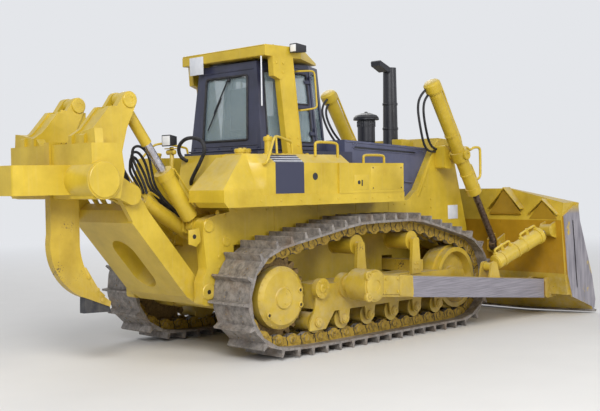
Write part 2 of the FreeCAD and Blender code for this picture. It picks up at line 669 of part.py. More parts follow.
def cab_pieces():
    """Cab shell, fixed glass, right door and its glass."""
    walls = cab_frustum(0).cut(cab_frustum(CAB_WALL))
    sheet = cab_frustum(CAB_WALL / 2 - GLASS_T / 2).cut(cab_frustum(CAB_WALL / 2 + GLASS_T / 2))
    rear = front(REAR_WINDOW, CAB_X0 - 100, CAB_X0 + 300)
    screen = front(FRONT_WINDOW, CAB_X1 - 200, CAB_X1 + 100)
    nose = side(NOSE_WINDOW, -900, -330)
    nose_left = mirrored(nose)
    quarter = side(SIDE_WINDOW, -900, -420)
    quarter_left = mirrored(quarter)
    upper = side(DOOR_UPPER, -900, -380)
    lower = side(DOOR_LOWER, -900, -380)
    shell = walls
    panes = (rear, screen, nose, nose_left, quarter, quarter_left)
    for hole in panes + (door_prism(0), mirrored(door_prism(0))):
        shell = shell.cut(hole)
    glass = [sheet.common(hole) for hole in panes]
    door = walls.common(door_prism(DOOR_GAP)).cut(upper).cut(lower)
    frame_halves = []
    door_halves = []
    for share in (0.2, 0.8):
        door_halves += hinge_half(share, -1, 90, 20)
        frame_halves += hinge_half(share + 0.0445, 1, 32, 15)
    door = door.multiFuse(door_halves)
    shell = shell.multiFuse(frame_halves + [mirrored(half) for half in frame_halves])
    door_glass = [sheet.common(hole) for hole in (upper, lower)]
    return shell, glass, door, door_glass


def rops():
    """Two-post roll bar: leaning box posts on foot plates, stepped gussets and the roof across them."""
    shapes = []
    corners = ((POST_X0, POST_Y0), (POST_X1, POST_Y0), (POST_X1, POST_Y1), (POST_X0, POST_Y1))
    low = [V(x, y, CAB_Z0 - 40) for x, y in corners]
    top = [V(p.x + POST_LEAN, p.y, ROOF_Z0 + 1) for p in low]
    post = Part.makeLoft([Part.makePolygon(low + low[:1]), Part.makePolygon(top + top[:1])], True, True)
    foot = block(POST_X0 - 40, POST_X1 + 90, POST_Y0, POST_Y1 + 40, TANK_TOP_Z, CAB_Z0 - 40)
    back = POST_X0 + POST_LEAN
    gusset = side([(back - 90, ROOF_Z0 + 1), (back - 75, 3290), (back + 40, 3250), (back + 120, 3300),
                   (back + 120, ROOF_Z0 + 1)], POST_Y0 + 12, POST_Y1 + 12)
    for shape in (post, foot, gusset):
        shapes += [shape, mirrored(shape)]
    roof = side([(ROOF_X0, ROOF_Z0, 15), (ROOF_X0, ROOF_Z1, 25), (POST_X1 + 60, ROOF_Z1, 60),
                 (ROOF_X1, 3545, 10), (ROOF_X1, 3515, 10), (POST_X1 + 60, ROOF_Z0)], -ROOF_HALF, ROOF_HALF)
    plan_rows = [(ROOF_X0, -ROOF_HALF), (POST_X1 + 20, -ROOF_HALF), (ROOF_X1, -430), (ROOF_X1, 430),
                 (POST_X1 + 20, ROOF_HALF), (ROOF_X0, ROOF_HALF)]
    roof = roof.common(plan(plan_rows, ROOF_Z0 - 50, ROOF_Z1 + 50))
    return fuse(shapes + [roof])


def cab_controls():
    """Dashboard before the seat, a console each side of it and their levers, on the cab's floor."""
    floor = CAB_Z0 + CAB_WALL
    shapes = []
    for y in (-440, 320):
        shapes.append(block(640, 1020, y, y + 120, floor, 2840))
    left = bar((960, -380, 2830), (990, -380, 2960), 22)
    right = bar((960, 380, 2830), (990, 380, 2960), 22)
    dash = side([(1380, floor), (1500, floor), (1500, 2900), (1440, 3010, 20), (1380, 2960, 20)], -260, 260)
    return Part.makeCompound([fuse([shapes[0], left]), fuse([shapes[1], right]), dash])


# Blade

def blade_face(shift):
    """The moldboard's section, moved forwards by shift: a concave arc and its plate's thickness."""
    points = []
    for offset in (0.0, -BLADE_PLATE):
        for x, z in ((BLADE_TOP_X, BLADE_TOP_Z), (BLADE_MID_X, BLADE_MID_Z), (BLADE_LOW_X, BLADE_LOW_Z)):
            points.append(V(x + shift + offset, 0, z))
    a, b, c, d, e, f = points
    wire = Part.Wire([Part.Arc(a, b, c).toShape(), Part.LineSegment(c, f).toShape(),
                      Part.Arc(f, e, d).toShape(), Part.LineSegment(d, a).toShape()])
    return Part.Face(wire)


def behind_face():
    """The section of all that lies behind the moldboard's middle run."""
    rows = ((BLADE_TOP_X, BLADE_TOP_Z), (BLADE_MID_X, BLADE_MID_Z), (BLADE_LOW_X, BLADE_LOW_Z))
    a, b, c = (V(x - BLADE_PLATE / 2, -BLADE_BREAK, z) for x, z in rows)
    rear_x = BLADE_BACK_X - BLADE_WING - 100
    d, e = V(rear_x, a.y, c.z), V(rear_x, a.y, a.z)
    return Part.Face(Part.Wire([Part.Arc(a, b, c).toShape()]
                               + [Part.LineSegment(*ends).toShape() for ends in ((c, d), (d, e), (e, a))]))


def blade():
    """Semi-U blade: arched moldboard with wings, box back with its shelf, gussets, end plates, brackets."""
    centre = blade_face(0).translated(V(0, -BLADE_BREAK, 0)).extrude(V(0, 2 * BLADE_BREAK, 0))
    reach = BLADE_HALF - BLADE_BREAK
    wing = blade_face(0).translated(V(0, -BLADE_BREAK, 0)).extrude(V(BLADE_WING, -reach, 0))
    top_cut = front([(-BLADE_BREAK, BLADE_TOP_Z + 1), (-BLADE_HALF - 10, BLADE_TOP_Z - WING_DROP),
                     (-BLADE_HALF - 10, BLADE_TOP_Z + 200), (-BLADE_BREAK, BLADE_TOP_Z + 200)], 4500, 6000)
    back_rows = [(BLADE_BACK_X, SHELF_Z), (BLADE_TOP_X - 60, BLADE_TOP_Z - 10),
                 (BLADE_LOW_X + 400, BLADE_TOP_Z - 10), (BLADE_LOW_X + 400, 330), (BLADE_BACK_X + 150, 330),
                 (BLADE_BACK_X + 80, 640)]
    behind = behind_face().extrude(V(0, 2 * BLADE_BREAK, 0))
    back = side(back_rows, -BLADE_BREAK, BLADE_BREAK).common(behind)
    wing_back = side(back_rows, -BLADE_HALF + 30, -BLADE_BREAK)
    wing_back = wing_back.common(behind_face().extrude(V(BLADE_WING, -reach, 0))).cut(top_cut)
    shapes = [centre, back]
    end_plate = side([(BLADE_BACK_X + 20, SHELF_Z + 60), (BLADE_TOP_X + 240, BLADE_TOP_Z - WING_DROP),
                      (BLADE_TOP_X + 290, BLADE_TOP_Z - WING_DROP - 260),
                      (BLADE_LOW_X + BLADE_WING - 60, 560), (BLADE_LOW_X + BLADE_WING + 30, 200),
                      (BLADE_LOW_X + BLADE_WING, 80), (BLADE_BACK_X + 250, 300), (BLADE_BACK_X + 130, 620)],
                     -BLADE_HALF, -BLADE_HALF + 30)
    for shape in (wing.cut(top_cut), wing_back, end_plate):
        shapes += [shape, mirrored(shape)]
    # rock-guard gussets: middle, half width, apex height, rear face
    for y, half, apex, x in ((BLADE_BREAK, 270, BLADE_TOP_Z - 2, BLADE_BACK_X - 20),
                             (1740, 240, BLADE_TOP_Z - 175, BLADE_BACK_X + 90)):
        gusset = front([(y - half, SHELF_Z + 80), (y + half, SHELF_Z + 80), (y, apex)], x, BLADE_TOP_X - 65)
        shapes += [gusset, mirrored(gusset)]
    # ears for the lift rods: two each side, clear of the rod's eye
    for y in (LIFT_Y - LIFT_EYE_T / 2 - 45, LIFT_Y + LIFT_EYE_T / 2 + 15):
        ear_rows = [(BLADE_BACK_X + 90, LIFT_EYE_Z - 160), (LIFT_EYE_X - 60, LIFT_EYE_Z - 90, 40),
                    (LIFT_EYE_X - 60, LIFT_EYE_Z + 90, 40), (BLADE_BACK_X + 90, LIFT_EYE_Z + 190)]
        ear = side(ear_rows, y, y + 30)
        cap_y = y - 12 if y < LIFT_Y else y + 29
        cap = across(LIFT_EYE_X, LIFT_EYE_Z, 48, cap_y, cap_y + 13)
        shapes += [ear, mirrored(ear), cap, mirrored(cap)]
    # low brackets that take the push arms
    for y in (ARM_Y0, ARM_Y1 - 50):
        lug = side([(ARM_PIN_X - 90, ARM_PIN_Z - 130, 60), (ARM_PIN_X + 200, ARM_PIN_Z - 130),
                    (ARM_PIN_X + 200, ARM_PIN_Z + 210), (ARM_PIN_X - 90, ARM_PIN_Z + 140, 60)], y, y + 50)
        shapes += [lug, mirrored(lug)]
    # ears for the tilt cylinder's rod and for the brace
    x, y, z = BRACE_BLADE
    for edge in (-BRACE_HALF - 25, BRACE_HALF):
        ear = side([(x - 70, z - 80, 50), (BLADE_BACK_X + 60, z - 130), (BLADE_BACK_X + 60, z + 130),
                    (x - 70, z + 80, 50)], y + edge, y + edge + 25)
        shapes += [ear, mirrored(ear)]
    pocket = block(BLADE_BACK_X - 100, ARM_PIN_X + 95, -ARM_Y1 + 50, -ARM_Y0 - 50, 280, ARM_PIN_Z + 150)
    return fuse(shapes).cut(pocket).cut(mirrored(pocket))


def cutting_edges():
    """Edge bolted along the foot of the moldboard: the middle run and one along each wing."""
    rows = [(BLADE_LOW_X - 95, EDGE_Z + 25), (BLADE_LOW_X + 45, EDGE_Z), (BLADE_LOW_X + 60, EDGE_Z + 30),
            (BLADE_LOW_X, BLADE_LOW_Z), (BLADE_LOW_X - BLADE_PLATE, BLADE_LOW_Z)]
    middle = side(rows, -BLADE_BREAK, BLADE_BREAK)
    face = outline(rows, lambda p: V(p.x, -BLADE_BREAK, p.y))
    wing = face.extrude(V(BLADE_WING, -(BLADE_HALF - BLADE_BREAK), 0))
    return fuse([middle, wing, mirrored(wing)])


def push_arm():
    """Right push arm: box beam outside the track, with the trunnion eye at its rear end."""
    beam = side([(ARM_PIVOT_X + 120, 640), (ARM_PIVOT_X + 820, 570), (ARM_END_X, 290), (ARM_END_X, 560),
                 (ARM_PIVOT_X + 820, 830), (ARM_PIVOT_X + 120, 900)], -ARM_Y1, -ARM_Y0)
    boss = across(ARM_PIVOT_X, ARM_PIVOT_Z, 190, -ARM_Y1, -ARM_Y0)
    tongue = fuse([side([(ARM_END_X - 60, 300), (ARM_PIN_X, ARM_PIN_Z - 65), (ARM_PIN_X, ARM_PIN_Z + 65),
                         (ARM_END_X - 60, 550)], -ARM_Y1 + 60, -ARM_Y0 - 60),
                   across(ARM_PIN_X, ARM_PIN_Z, 65, -ARM_Y1 + 60, -ARM_Y0 - 60),
                   across(ARM_PIN_X, ARM_PIN_Z, 40, -ARM_Y1 + 50, -ARM_Y0 - 50)])
    shapes = [beam, boss, tongue]
    x, y, z = BRACE_ARM
    for edge in (-BRACE_HALF - 25, BRACE_HALF):
        shapes.append(side([(x - 150, z - 240), (x + 170, z - 260), (x + 60, z + 70, 50),
                            (x - 60, z + 70, 50)], y + edge, y + edge + 25))
    bore = across(ARM_PIVOT_X, ARM_PIVOT_Z, 100 + RUN, -ARM_Y1 + 50, -ARM_Y0 + 10)
    return fuse(shapes).cut(bore)


def knuckle(place):
    """Round end with its pin, between two ears."""
    x, y, z = place
    return fuse([across(x, z, 56, y - BRACE_HALF + 12, y + BRACE_HALF - 12),
                 across(x, z, 32, y - BRACE_HALF, y + BRACE_HALF)])


def brace(rows, reach):
    """A turned piece on the line from the arm's ears to the blade's, its pin across one end."""
    start, end = V(*BRACE_ARM), V(*BRACE_BLADE)
    line = (end - start).normalize()
    end_place = BRACE_ARM if reach == 0 else BRACE_BLADE
    return fuse([revolved(rows, tuple(start), tuple(line)), knuckle(end_place)])


def tilt_barrel():
    """Barrel of the tilt cylinder on the right arm."""
    return brace([(0, 0), (0, 36), (110, 36), (125, 94), (690, 94), (690, 108), (760, 108), (760, 50 + RUN),
                  (200, 50 + RUN), (200, 0)], 0)


def tilt_rod():
    """Rod of the tilt cylinder, its knuckle in the blade's ears."""
    length = math.dist(BRACE_ARM, BRACE_BLADE)
    return brace([(400, 0), (400, 50), (length - 140, 50), (length - 140, 36), (length, 36), (length, 0)], 1)


def tilt_brace():
    """Plain screw brace on the left arm."""
    length = math.dist(BRACE_ARM, BRACE_BLADE)
    rows = [(0, 0), (0, 36), (150, 36), (150, 58), (length - 200, 58), (length - 200, 36), (length, 36),
            (length, 0)]
    return mirrored(fuse([brace(rows, 0), knuckle(BRACE_BLADE)]))


def lift_line():
    """Unit vector down the lift cylinder, from trunnion to rod eye."""
    return V(LIFT_EYE_X - LIFT_X, 0, LIFT_EYE_Z - LIFT_Z).normalize()


def lift_barrel():
    """Right lift cylinder barrel with its head, gland and trunnion pin."""
    line = lift_line()
    middle = V(LIFT_X, -LIFT_Y, LIFT_Z)
    rows = [(-LIFT_BARREL_UP, 0), (-LIFT_BARREL_UP, 96), (-LIFT_BARREL_UP + 25, LIFT_BARREL_R + 26),
            (-LIFT_BARREL_UP + 135, LIFT_BARREL_R + 26), (-LIFT_BARREL_UP + 135, LIFT_BARREL_R),
            (LIFT_BARREL_DOWN - 90, LIFT_BARREL_R), (LIFT_BARREL_DOWN - 90, LIFT_BARREL_R + 14),
            (LIFT_BARREL_DOWN, LIFT_BARREL_R + 14), (LIFT_BARREL_DOWN, LIFT_ROD_R + RUN),
            (-LIFT_BARREL_UP + 60, LIFT_ROD_R + RUN), (-LIFT_BARREL_UP + 60, 0)]
    tube = revolved(rows, tuple(middle), tuple(line))
    band = revolved([(-75, LIFT_BARREL_R - 10), (-75, LIFT_BARREL_R + 28), (75, LIFT_BARREL_R + 28),
                     (75, LIFT_BARREL_R - 10)], tuple(middle), tuple(line))
    pin = across(LIFT_X, LIFT_Z, 50, -LIFT_Y + LIFT_BARREL_R, -LIFT_Y + 230)
    return fuse([tube, band, pin])


def lift_rod():
    """Right lift rod, sliding in the barrel's bore, with the eye at its lower end."""
    line = lift_line()
    eye = V(LIFT_EYE_X, -LIFT_Y, LIFT_EYE_Z)
    top = V(LIFT_X, -LIFT_Y, LIFT_Z) + line * 80
    rod = Part.makeCylinder(LIFT_ROD_R, (eye - top).Length - 60, top, line)
    ring = across(LIFT_EYE_X, LIFT_EYE_Z, LIFT_EYE_R, -LIFT_Y - LIFT_EYE_T / 2, -LIFT_Y + LIFT_EYE_T / 2)
    return fuse([rod, ring])


def lift_bracket():
    """Bracket on the guard's cheek that holds the trunnion pin."""
    rows = [(LIFT_X - 150, LIFT_Z - 190, 30), (LIFT_X + 40, LIFT_Z - 190, 30), (LIFT_X + 90, LIFT_Z, 60),
            (LIFT_X + 40, LIFT_Z + 110, 40), (LIFT_X - 150, LIFT_Z + 150, 30)]
    plate = side(rows, -LIFT_Y + 150, -GUARD_HALF)
    return plate.cut(across(LIFT_X, LIFT_Z, 50 + RUN, -LIFT_Y + 140, -LIFT_Y + 235))


# Ripper

def along_arm(share, offset):
    """A point on the lower arm: share of its length from the tractor pin, offset above its centre line."""
    dx, dz = ARM_B[0] - ARM_A[0], ARM_B[1] - ARM_A[1]
    length = math.hypot(dx, dz)
    return (ARM_A[0] + dx * share + offset * dz / length, ARM_A[1] + dz * share - offset * dx / length)


def ripper_bracket():
    """Two posts on the hull's rear with the pins of the arm and of the four cylinders."""
    plate = block(HULL_X0 - 60, HULL_X0, -BRACKET_Y1, BRACKET_Y1, 660, DECK_Z1)
    for y in (-RLIFT_Y, RLIFT_Y):
        plate = plate.cut(block(HULL_X0 - 61, HULL_X0 + 1, y - 64, y + 64, RLIFT_BASE[1] - 92,
                                RLIFT_BASE[1] + 92))
    shapes = [plate]
    post_rows = [(HULL_X0 - 30, 600), (ARM_A[0] - 90, 640, 40), (ARM_A[0] - 90, 900, 60),
                 (ARM_A[0] - 20, 1050, 60), (TILT_BASE[0] - 80, 1430, 40), (TILT_BASE[0] - 80, 1600, 60),
                 (TILT_BASE[0] + 90, 1650, 60), (HULL_X0 - 30, 1690)]
    post = side(post_rows, BRACKET_Y0, BRACKET_Y1)
    inner_rows = [(HULL_X0 - 30, 1400), (TILT_BASE[0] - 75, 1450, 40), (TILT_BASE[0] - 75, 1600, 60),
                  (TILT_BASE[0] + 60, 1640, 40), (HULL_X0 - 30, 1690)]
    inner = side(inner_rows, TILT_Y - 145, TILT_Y - 105)
    for shape in (post, inner):
        shapes += [shape, mirrored(shape)]
    shapes += [across(*ARM_A, 55, y, y + 100) for y in (RIPPER_HALF - 70, -RIPPER_HALF - 30)]
    for y in (TILT_Y - 110, -BRACKET_Y0 - 5):
        shapes.append(across(*TILT_BASE, 50, y, y + BRACKET_Y0 - TILT_Y + 115))
    for y in (-RLIFT_Y, RLIFT_Y):
        for edge in (-95, 65):
            lug = [(HULL_X0 - 30, 1250), (RLIFT_BASE[0] - 60, 1290, 30), (RLIFT_BASE[0] - 60, 1410, 30),
                   (HULL_X0 - 30, 1450)]
            shapes.append(side(lug, y + edge, y + edge + 30))
        shapes.append(across(*RLIFT_BASE, 38, y - 70, y + 70))
    return fuse(shapes)


def ripper_arm():
    """Wide box arm with the oval hole in its floor, eyes at the tractor end and a fork at the beam end."""
    rows = [along_arm(-0.08, -110), along_arm(0.05, -170), along_arm(0.82, -170), along_arm(0.88, -60),
            along_arm(0.88, 50), along_arm(0.82, 75), along_arm(0.05, 75), along_arm(-0.08, 60)]
    beam = side(rows, -RIPPER_HALF, RIPPER_HALF)
    eye = across(*ARM_A, 130, -RIPPER_HALF, RIPPER_HALF)
    whole = fuse([beam, eye])
    for y in (RIPPER_HALF - 72, -RIPPER_HALF - 32):
        whole = whole.cut(across(*ARM_A, 55 + RUN, y, y + 104))
    ear = fuse([across(*ARM_B, 115, RIPPER_HALF - 70, RIPPER_HALF),
                side([along_arm(0.78, -165), along_arm(1.0, -115), along_arm(1.0, 115), along_arm(0.78, 74)],
                     RIPPER_HALF - 70, RIPPER_HALF)])
    ear = ear.cut(across(*ARM_B, 50 + RUN, RIPPER_HALF - 80, RIPPER_HALF + 10))
    lugs = []
    # lug rows: share of the arm's length, offset above its centre line
    lug_rows = [along_arm(*row) for row in ((0.80, 40), (0.99, 60), (1.0, 200), (0.97, 250), (0.915, 250),
                                            (0.90, 100), (0.80, 74))]
    for edge in (-95, 65):
        lugs.append(side(lug_rows, RLIFT_Y + edge, RLIFT_Y + edge + 30))
    near, far = OVAL_SHARES
    ends = ((near, -300), (far, -300), (far, 300), (near, 300))
    corners = [along_arm(share, reach) for share, reach in ends]
    hole = [side(corners, -OVAL_R, OVAL_R)]
    for share in OVAL_SHARES:
        (x0, z0), (x1, z1) = along_arm(share, -300), along_arm(share, 300)
        hole.append(bar((x0, 0, z0), (x1, 0, z1), OVAL_R))
    whole = whole.cut(fuse(hole))
    return fuse([whole, ear, mirrored(ear)] + lugs + [mirrored(lug) for lug in lugs])


def ripper_beam():
    """Heavy cross beam with round ends, push block, two horns and the lugs on the arm's pin."""
    body = across(BEAM_X, BEAM_Z, BEAM_R, -BEAM_HALF, BEAM_HALF)
    box_rows = [(BEAM_X - 120, BEAM_Z - 190), (-1860, BEAM_Z - 190), (-1800, BEAM_Z + 100),
                (-1840, BEAM_Z + 380), (BEAM_X - 120, BEAM_Z + 380)]
    box = side(box_rows, -BEAM_HALF + 40, BEAM_HALF - 40)
    push = plan([(BEAM_X - 100, -430), (BEAM_X - 100, 430), (-2700, 330, 60), (-2790, 260, 40),
                 (-2790, -260, 40), (-2700, -330, 60)], BEAM_Z - 150, BEAM_Z + 160)
    shapes = [body, box, push]
    pin_x, pin_z = HORN_PIN
    horn_rows = [(-2177, 2300), (-2177, 2535), (-2065, 2607), (-1857, 2845), (-1760, 2850),
                 (pin_x - 65, pin_z + 65), (pin_x + 70, pin_z + 60), (pin_x + 88, pin_z - 30), (-1642, 2618),
                 (-1726, 2300), (-1745, BEAM_Z)]
    for y0, y1 in ((TILT_Y - 130, TILT_Y - 70), (TILT_Y + 70, TILT_Y + 160)):
        horn = fuse([side(horn_rows, y0, y1), across(pin_x, pin_z, 92, y0, y1)])
        shapes += [horn, mirrored(horn)]
    tower = side([(-2150, 2300), (-2150, 2520), (-2055, 2590), (-1852, 2828), (-1775, 2832), (-1775, 2740),
                  (-1850, 2400), (-1850, BEAM_Z)], TILT_Y - 100, TILT_Y + 100)
    crest = front([(330 - 80, 2400), (330 - 80, 2440), (340, 2530), (700, 2592), (BEAM_HALF - 60, 2600),
                   (BEAM_HALF - 40, 2400)], -2150, -2050)
    shapes += [tower, mirrored(tower), crest, mirrored(crest)]
    # lugs that hang on the arm's upper pin
    for y in (RIPPER_HALF + 5, RIPPER_HALF - 150):
        lug = fuse([side([(-1900, BEAM_Z - 150), (ARM_B[0], ARM_B[1] - 110), (ARM_B[0], ARM_B[1] + 110),
                          (-1900, BEAM_Z + 150)], y, y + 70), across(*ARM_B, 110, y, y + 70)])
        shapes += [lug, mirrored(lug)]
    pin = across(*ARM_B, 50, RIPPER_HALF - 100, RIPPER_HALF + 20)
    pocket = block(SHANK_X0, SHANK_X1, -SHANK_T / 2 - 8, SHANK_T / 2 + 8, BEAM_Z - 300, BEAM_Z + 600)
    return fuse(shapes + [pin, mirrored(pin)]).cut(pocket)


def ripper_shank():
    """Single curved giant shank, standing up through the beam's pocket."""
    top = [V(SHANK_X0, 0, SHANK_TOP), V(SHANK_X0, 0, 1500)]
    foot = [V(x, 0, z) for x, z in SHANK_FOOT]
    back = [V(SHANK_X1, 0, 1350), V(SHANK_X1, 0, SHANK_TOP)]
    edges = [Part.LineSegment(*top).toShape(), Part.Arc(top[1], V(-2165, 0, 1080), foot[0]).toShape(),
             Part.LineSegment(foot[0], foot[1]).toShape(), Part.LineSegment(foot[1], foot[2]).toShape(),
             Part.Arc(foot[2], V(-1790, 0, 1050), back[0]).toShape(), Part.LineSegment(*back).toShape(),
             Part.LineSegment(back[1], top[0]).toShape()]
    face = Part.Face(Part.Wire(edges)).translated(V(0, -SHANK_T / 2, 0))
    return face.extrude(V(0, SHANK_T, 0))


def ripper_tooth():
    """Wedge tooth under the shank's foot."""
    heel, toe = SHANK_FOOT[:2]
    return side([(heel[0] - 5, 615), heel, toe, (toe[0] + 15, 600)], -SHANK_T / 2 + 8, SHANK_T / 2 - 8)


def cylinder(base, eye, y, barrel_r, rod_r, barrel_l, rod_start, eye_r, eye_t, base_r, sleeve_r, sleeve_l):
    """Barrel, rod and rod end of a ripper cylinder between two pins in the plane y."""
    start, end = V(base[0], y, base[1]), V(eye[0], y, eye[1])
    line = (end - start).normalize()
    span = (end - start).Length
    rows = [(base_r + 2, 0), (base_r + 2, 50), (110, 50), (118, barrel_r), (barrel_l - 80, barrel_r),
            (barrel_l - 80, barrel_r + 12), (barrel_l, barrel_r + 12), (barrel_l, rod_r + RUN),
            (122, rod_r + RUN), (122, 0)]
    knuckle = across(base[0], base[1], base_r + 40, y - eye_t / 2, y + eye_t / 2)
    barrel = fuse([revolved(rows, tuple(start), tuple(line)), knuckle])
    barrel = barrel.cut(across(base[0], base[1], base_r + RUN, y - eye_t, y + eye_t))
    rod = Part.makeCylinder(rod_r, span - sleeve_l - rod_start, start + line * rod_start, line)
    sleeve = Part.makeCylinder(sleeve_r, sleeve_l - eye_r / 2, start + line * (span - sleeve_l), line)
    ring = across(eye[0], eye[1], eye_r, y - eye_t / 2, y + eye_t / 2)
    return barrel, rod, fuse([sleeve, ring])


os.makedirs("parts", exist_ok=True)

put("hull", hull())
put("engine_block", block(ENGINE_X0, ENGINE_X0 + ENGINE_L, -ENGINE_HALF, ENGINE_HALF, DECK_Z1,
                          DECK_Z1 + ENGINE_H))
put("hood", hood())
guard = fuse([radiator_guard(), lift_bracket(), mirrored(lift_bracket())])
put("radiator_guard", guard)
put("radiator_core", radiator_core())
put("radiator_grille", radiator_grille())
put("fuel_tank", fuel_tank())
put("fender_right", fuse([fender(FENDER_X0), console()]))
put("fender_left", mirrored(fuse([fender(FENDER_X0 + 200), console()])))
put("side_boxes", pair(side_box()))
base_half = POST_Y0 - 5
put("cab_base", block(CAB_X0 - 85, HOOD_X0 - 5, -base_half, base_half, DECK_Z1, CAB_Z0))
shell, glass, door, door_glass = cab_pieces()
put("cab_shell", shell)
put("cab_glass", Part.makeCompound(glass))
put("cab_door_right", door)
put("door_glass_right", Part.makeCompound(door_glass))
put("cab_door_left", mirrored(door))
put("door_glass_left", mirrored(Part.makeCompound(door_glass)))
seat = fuse([block(560, 1040, -260, 260, 2700, 2830), block(540, 660, -250, 250, 2830, 3250),
             block(620, 980, -150, 150, CAB_Z0 + CAB_WALL, 2700)])
put("seat", seat)
put("cab_controls", cab_controls())
put("rops", rops())
put("exhaust_stack", exhaust())
put("precleaner", precleaner())
put("ripper_bracket", ripper_bracket())
put("track_frames", pair(track_frame()))
put("track_left", track())
put("track_right", mirrored(track()))
put("sprockets", pair(sprocket()))
put("final_drives", pair(final_drive()))
put("idlers", pair(idler()))
put("track_rollers", Part.makeCompound([s for r in track_rollers() for s in (r, mirrored(r))]))
put("carrier_rollers", Part.makeCompound([s for r in carrier_rollers() for s in (r, mirrored(r))]))
stub = across(PIVOT_X, PIVOT_Z, PIVOT_R, HULL_HALF, TRACK_Y - WEB_Y - WEB_T)
put("pivot_shaft", pair(stub))
put("equalizer_bar", block(EQUALIZER_X - EQUALIZER_W / 2, EQUALIZER_X + EQUALIZER_W / 2, -TRACK_Y - 60,
                           TRACK_Y + 60, FRAME_Z1, FRAME_Z1 + EQUALIZER_H))
put("blade", blade())
put("cutting_edges", cutting_edges())
put("tilt_barrel", tilt_barrel())
put("tilt_rod", tilt_rod())
put("tilt_brace", tilt_brace())
put("push_arms", pair(push_arm()))
put("lift_barrel_right", lift_barrel())
put("lift_barrel_left", mirrored(lift_barrel()))
put("lift_rod_right", lift_rod())
put("lift_rod_left", mirrored(lift_rod()))
put("ripper_arm", ripper_arm())
put("ripper_beam", ripper_beam())
put("ripper_shank", ripper_shank())
put("ripper_tooth", ripper_tooth())
barrel, rod, end = cylinder(TILT_BASE, HORN_PIN, TILT_Y, TILT_BARREL_R, TILT_ROD_R, TILT_BARREL_L, 300,
                            85, 110, 50, 62, 560)
put("ripper_tilt_barrels", pair(barrel))
put("ripper_tilt_rods", pair(rod))
put("ripper_tilt_forks", pair(end))
barrel, rod, end = cylinder(RLIFT_BASE, RLIFT_EYE, RLIFT_Y, RLIFT_BARREL_R, RLIFT_ROD_R, RLIFT_BARREL_L,
                            235, 70, 110, 38, 56, 130)
put("ripper_lift_barrels", pair(barrel))
put("ripper_lift_rods", pair(fuse([rod, end])))
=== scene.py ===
import bpy
import math
from mathutils import Matrix, Vector


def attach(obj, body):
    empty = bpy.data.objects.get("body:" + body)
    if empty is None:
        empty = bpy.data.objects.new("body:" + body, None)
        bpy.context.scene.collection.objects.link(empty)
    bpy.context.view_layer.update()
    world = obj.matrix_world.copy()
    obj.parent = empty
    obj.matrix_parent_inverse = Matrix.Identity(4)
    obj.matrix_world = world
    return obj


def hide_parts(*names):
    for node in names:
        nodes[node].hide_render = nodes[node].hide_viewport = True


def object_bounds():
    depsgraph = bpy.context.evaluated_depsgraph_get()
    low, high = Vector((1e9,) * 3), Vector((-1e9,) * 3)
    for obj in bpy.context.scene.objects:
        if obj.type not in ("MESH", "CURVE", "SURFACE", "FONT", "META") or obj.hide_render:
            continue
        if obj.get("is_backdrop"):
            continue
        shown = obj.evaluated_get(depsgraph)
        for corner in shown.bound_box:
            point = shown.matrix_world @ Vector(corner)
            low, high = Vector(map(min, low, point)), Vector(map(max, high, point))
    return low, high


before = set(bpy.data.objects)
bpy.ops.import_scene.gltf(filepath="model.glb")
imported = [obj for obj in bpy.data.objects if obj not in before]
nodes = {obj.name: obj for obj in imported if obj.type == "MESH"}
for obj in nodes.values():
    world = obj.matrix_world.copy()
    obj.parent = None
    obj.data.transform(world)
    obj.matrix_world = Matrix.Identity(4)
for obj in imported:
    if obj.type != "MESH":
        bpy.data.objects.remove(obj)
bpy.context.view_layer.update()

# Crawler bulldozer with a ripper, dressed in the order in which it is put together.
# Metres. +X forwards to the blade, +Y to the left, +Z up, shoes stand on Z = 0.


# Studio
# A pale floor under soft lamps, seen from behind the machine's right rear corner.
camera = bpy.data.cameras.new("camera")
camera.sensor_width = 36
camera.lens = 59.45
view = bpy.data.objects.new("camera", camera)
view.location = (-9.2855, -9.3636, 2.0131)
view.rotation_euler = (math.radians(88.655), math.radians(0.938), math.radians(-45.102))
bpy.context.scene.collection.objects.link(view)
bpy.context.scene.camera = view
bpy.context.scene.view_settings.view_transform = "Standard"


def linear(shade):
    """A hex sRGB colour as linear RGBA."""
    parts = [int(shade[i:i + 2], 16) / 255 for i in (1, 3, 5)]
    return tuple(c / 12.92 if c <= 0.04045 else ((c + 0.055) / 1.055) ** 2.4 for c in parts) + (1.0,)


def add(tree, kind, inputs=None, **settings):
    """Adds a node to the tree with its settings, values and links."""
    made = tree.nodes.new(kind)
    for name, value in settings.items():
        setattr(made, name, value)
    for name, value in (inputs or {}).items():
        if isinstance(value, bpy.types.NodeSocket):
            tree.links.new(value, made.inputs[name])
        else:
            made.inputs[name].default_value = value
    return made


def ends(ramp, low, high, start=0.0, stop=1.0):
    """Gives a colour ramp its two shades, and the places where they begin and end."""
    for stop_of, shade, at in zip(ramp.color_ramp.elements, (low, high), (start, stop)):
        stop_of.position = at
        stop_of.color = linear(shade)


def finish(name):
    """A new material with a bare shader, and its node tree."""
    made = bpy.data.materials.new(name)
    made.use_nodes = True
    return made, made.node_tree, made.node_tree.nodes["Principled BSDF"]


def dress(node, *materials):
    """Gives a frame node its materials."""
    slots = nodes[node].data.materials
    slots.clear()
    for material in materials:
        slots.append(material)


def clear():
    """Nothing selected, object mode."""
    if bpy.context.object and bpy.context.object.mode != "OBJECT":
        bpy.ops.object.mode_set(mode="OBJECT")
    bpy.ops.object.select_all(action="DESELECT")


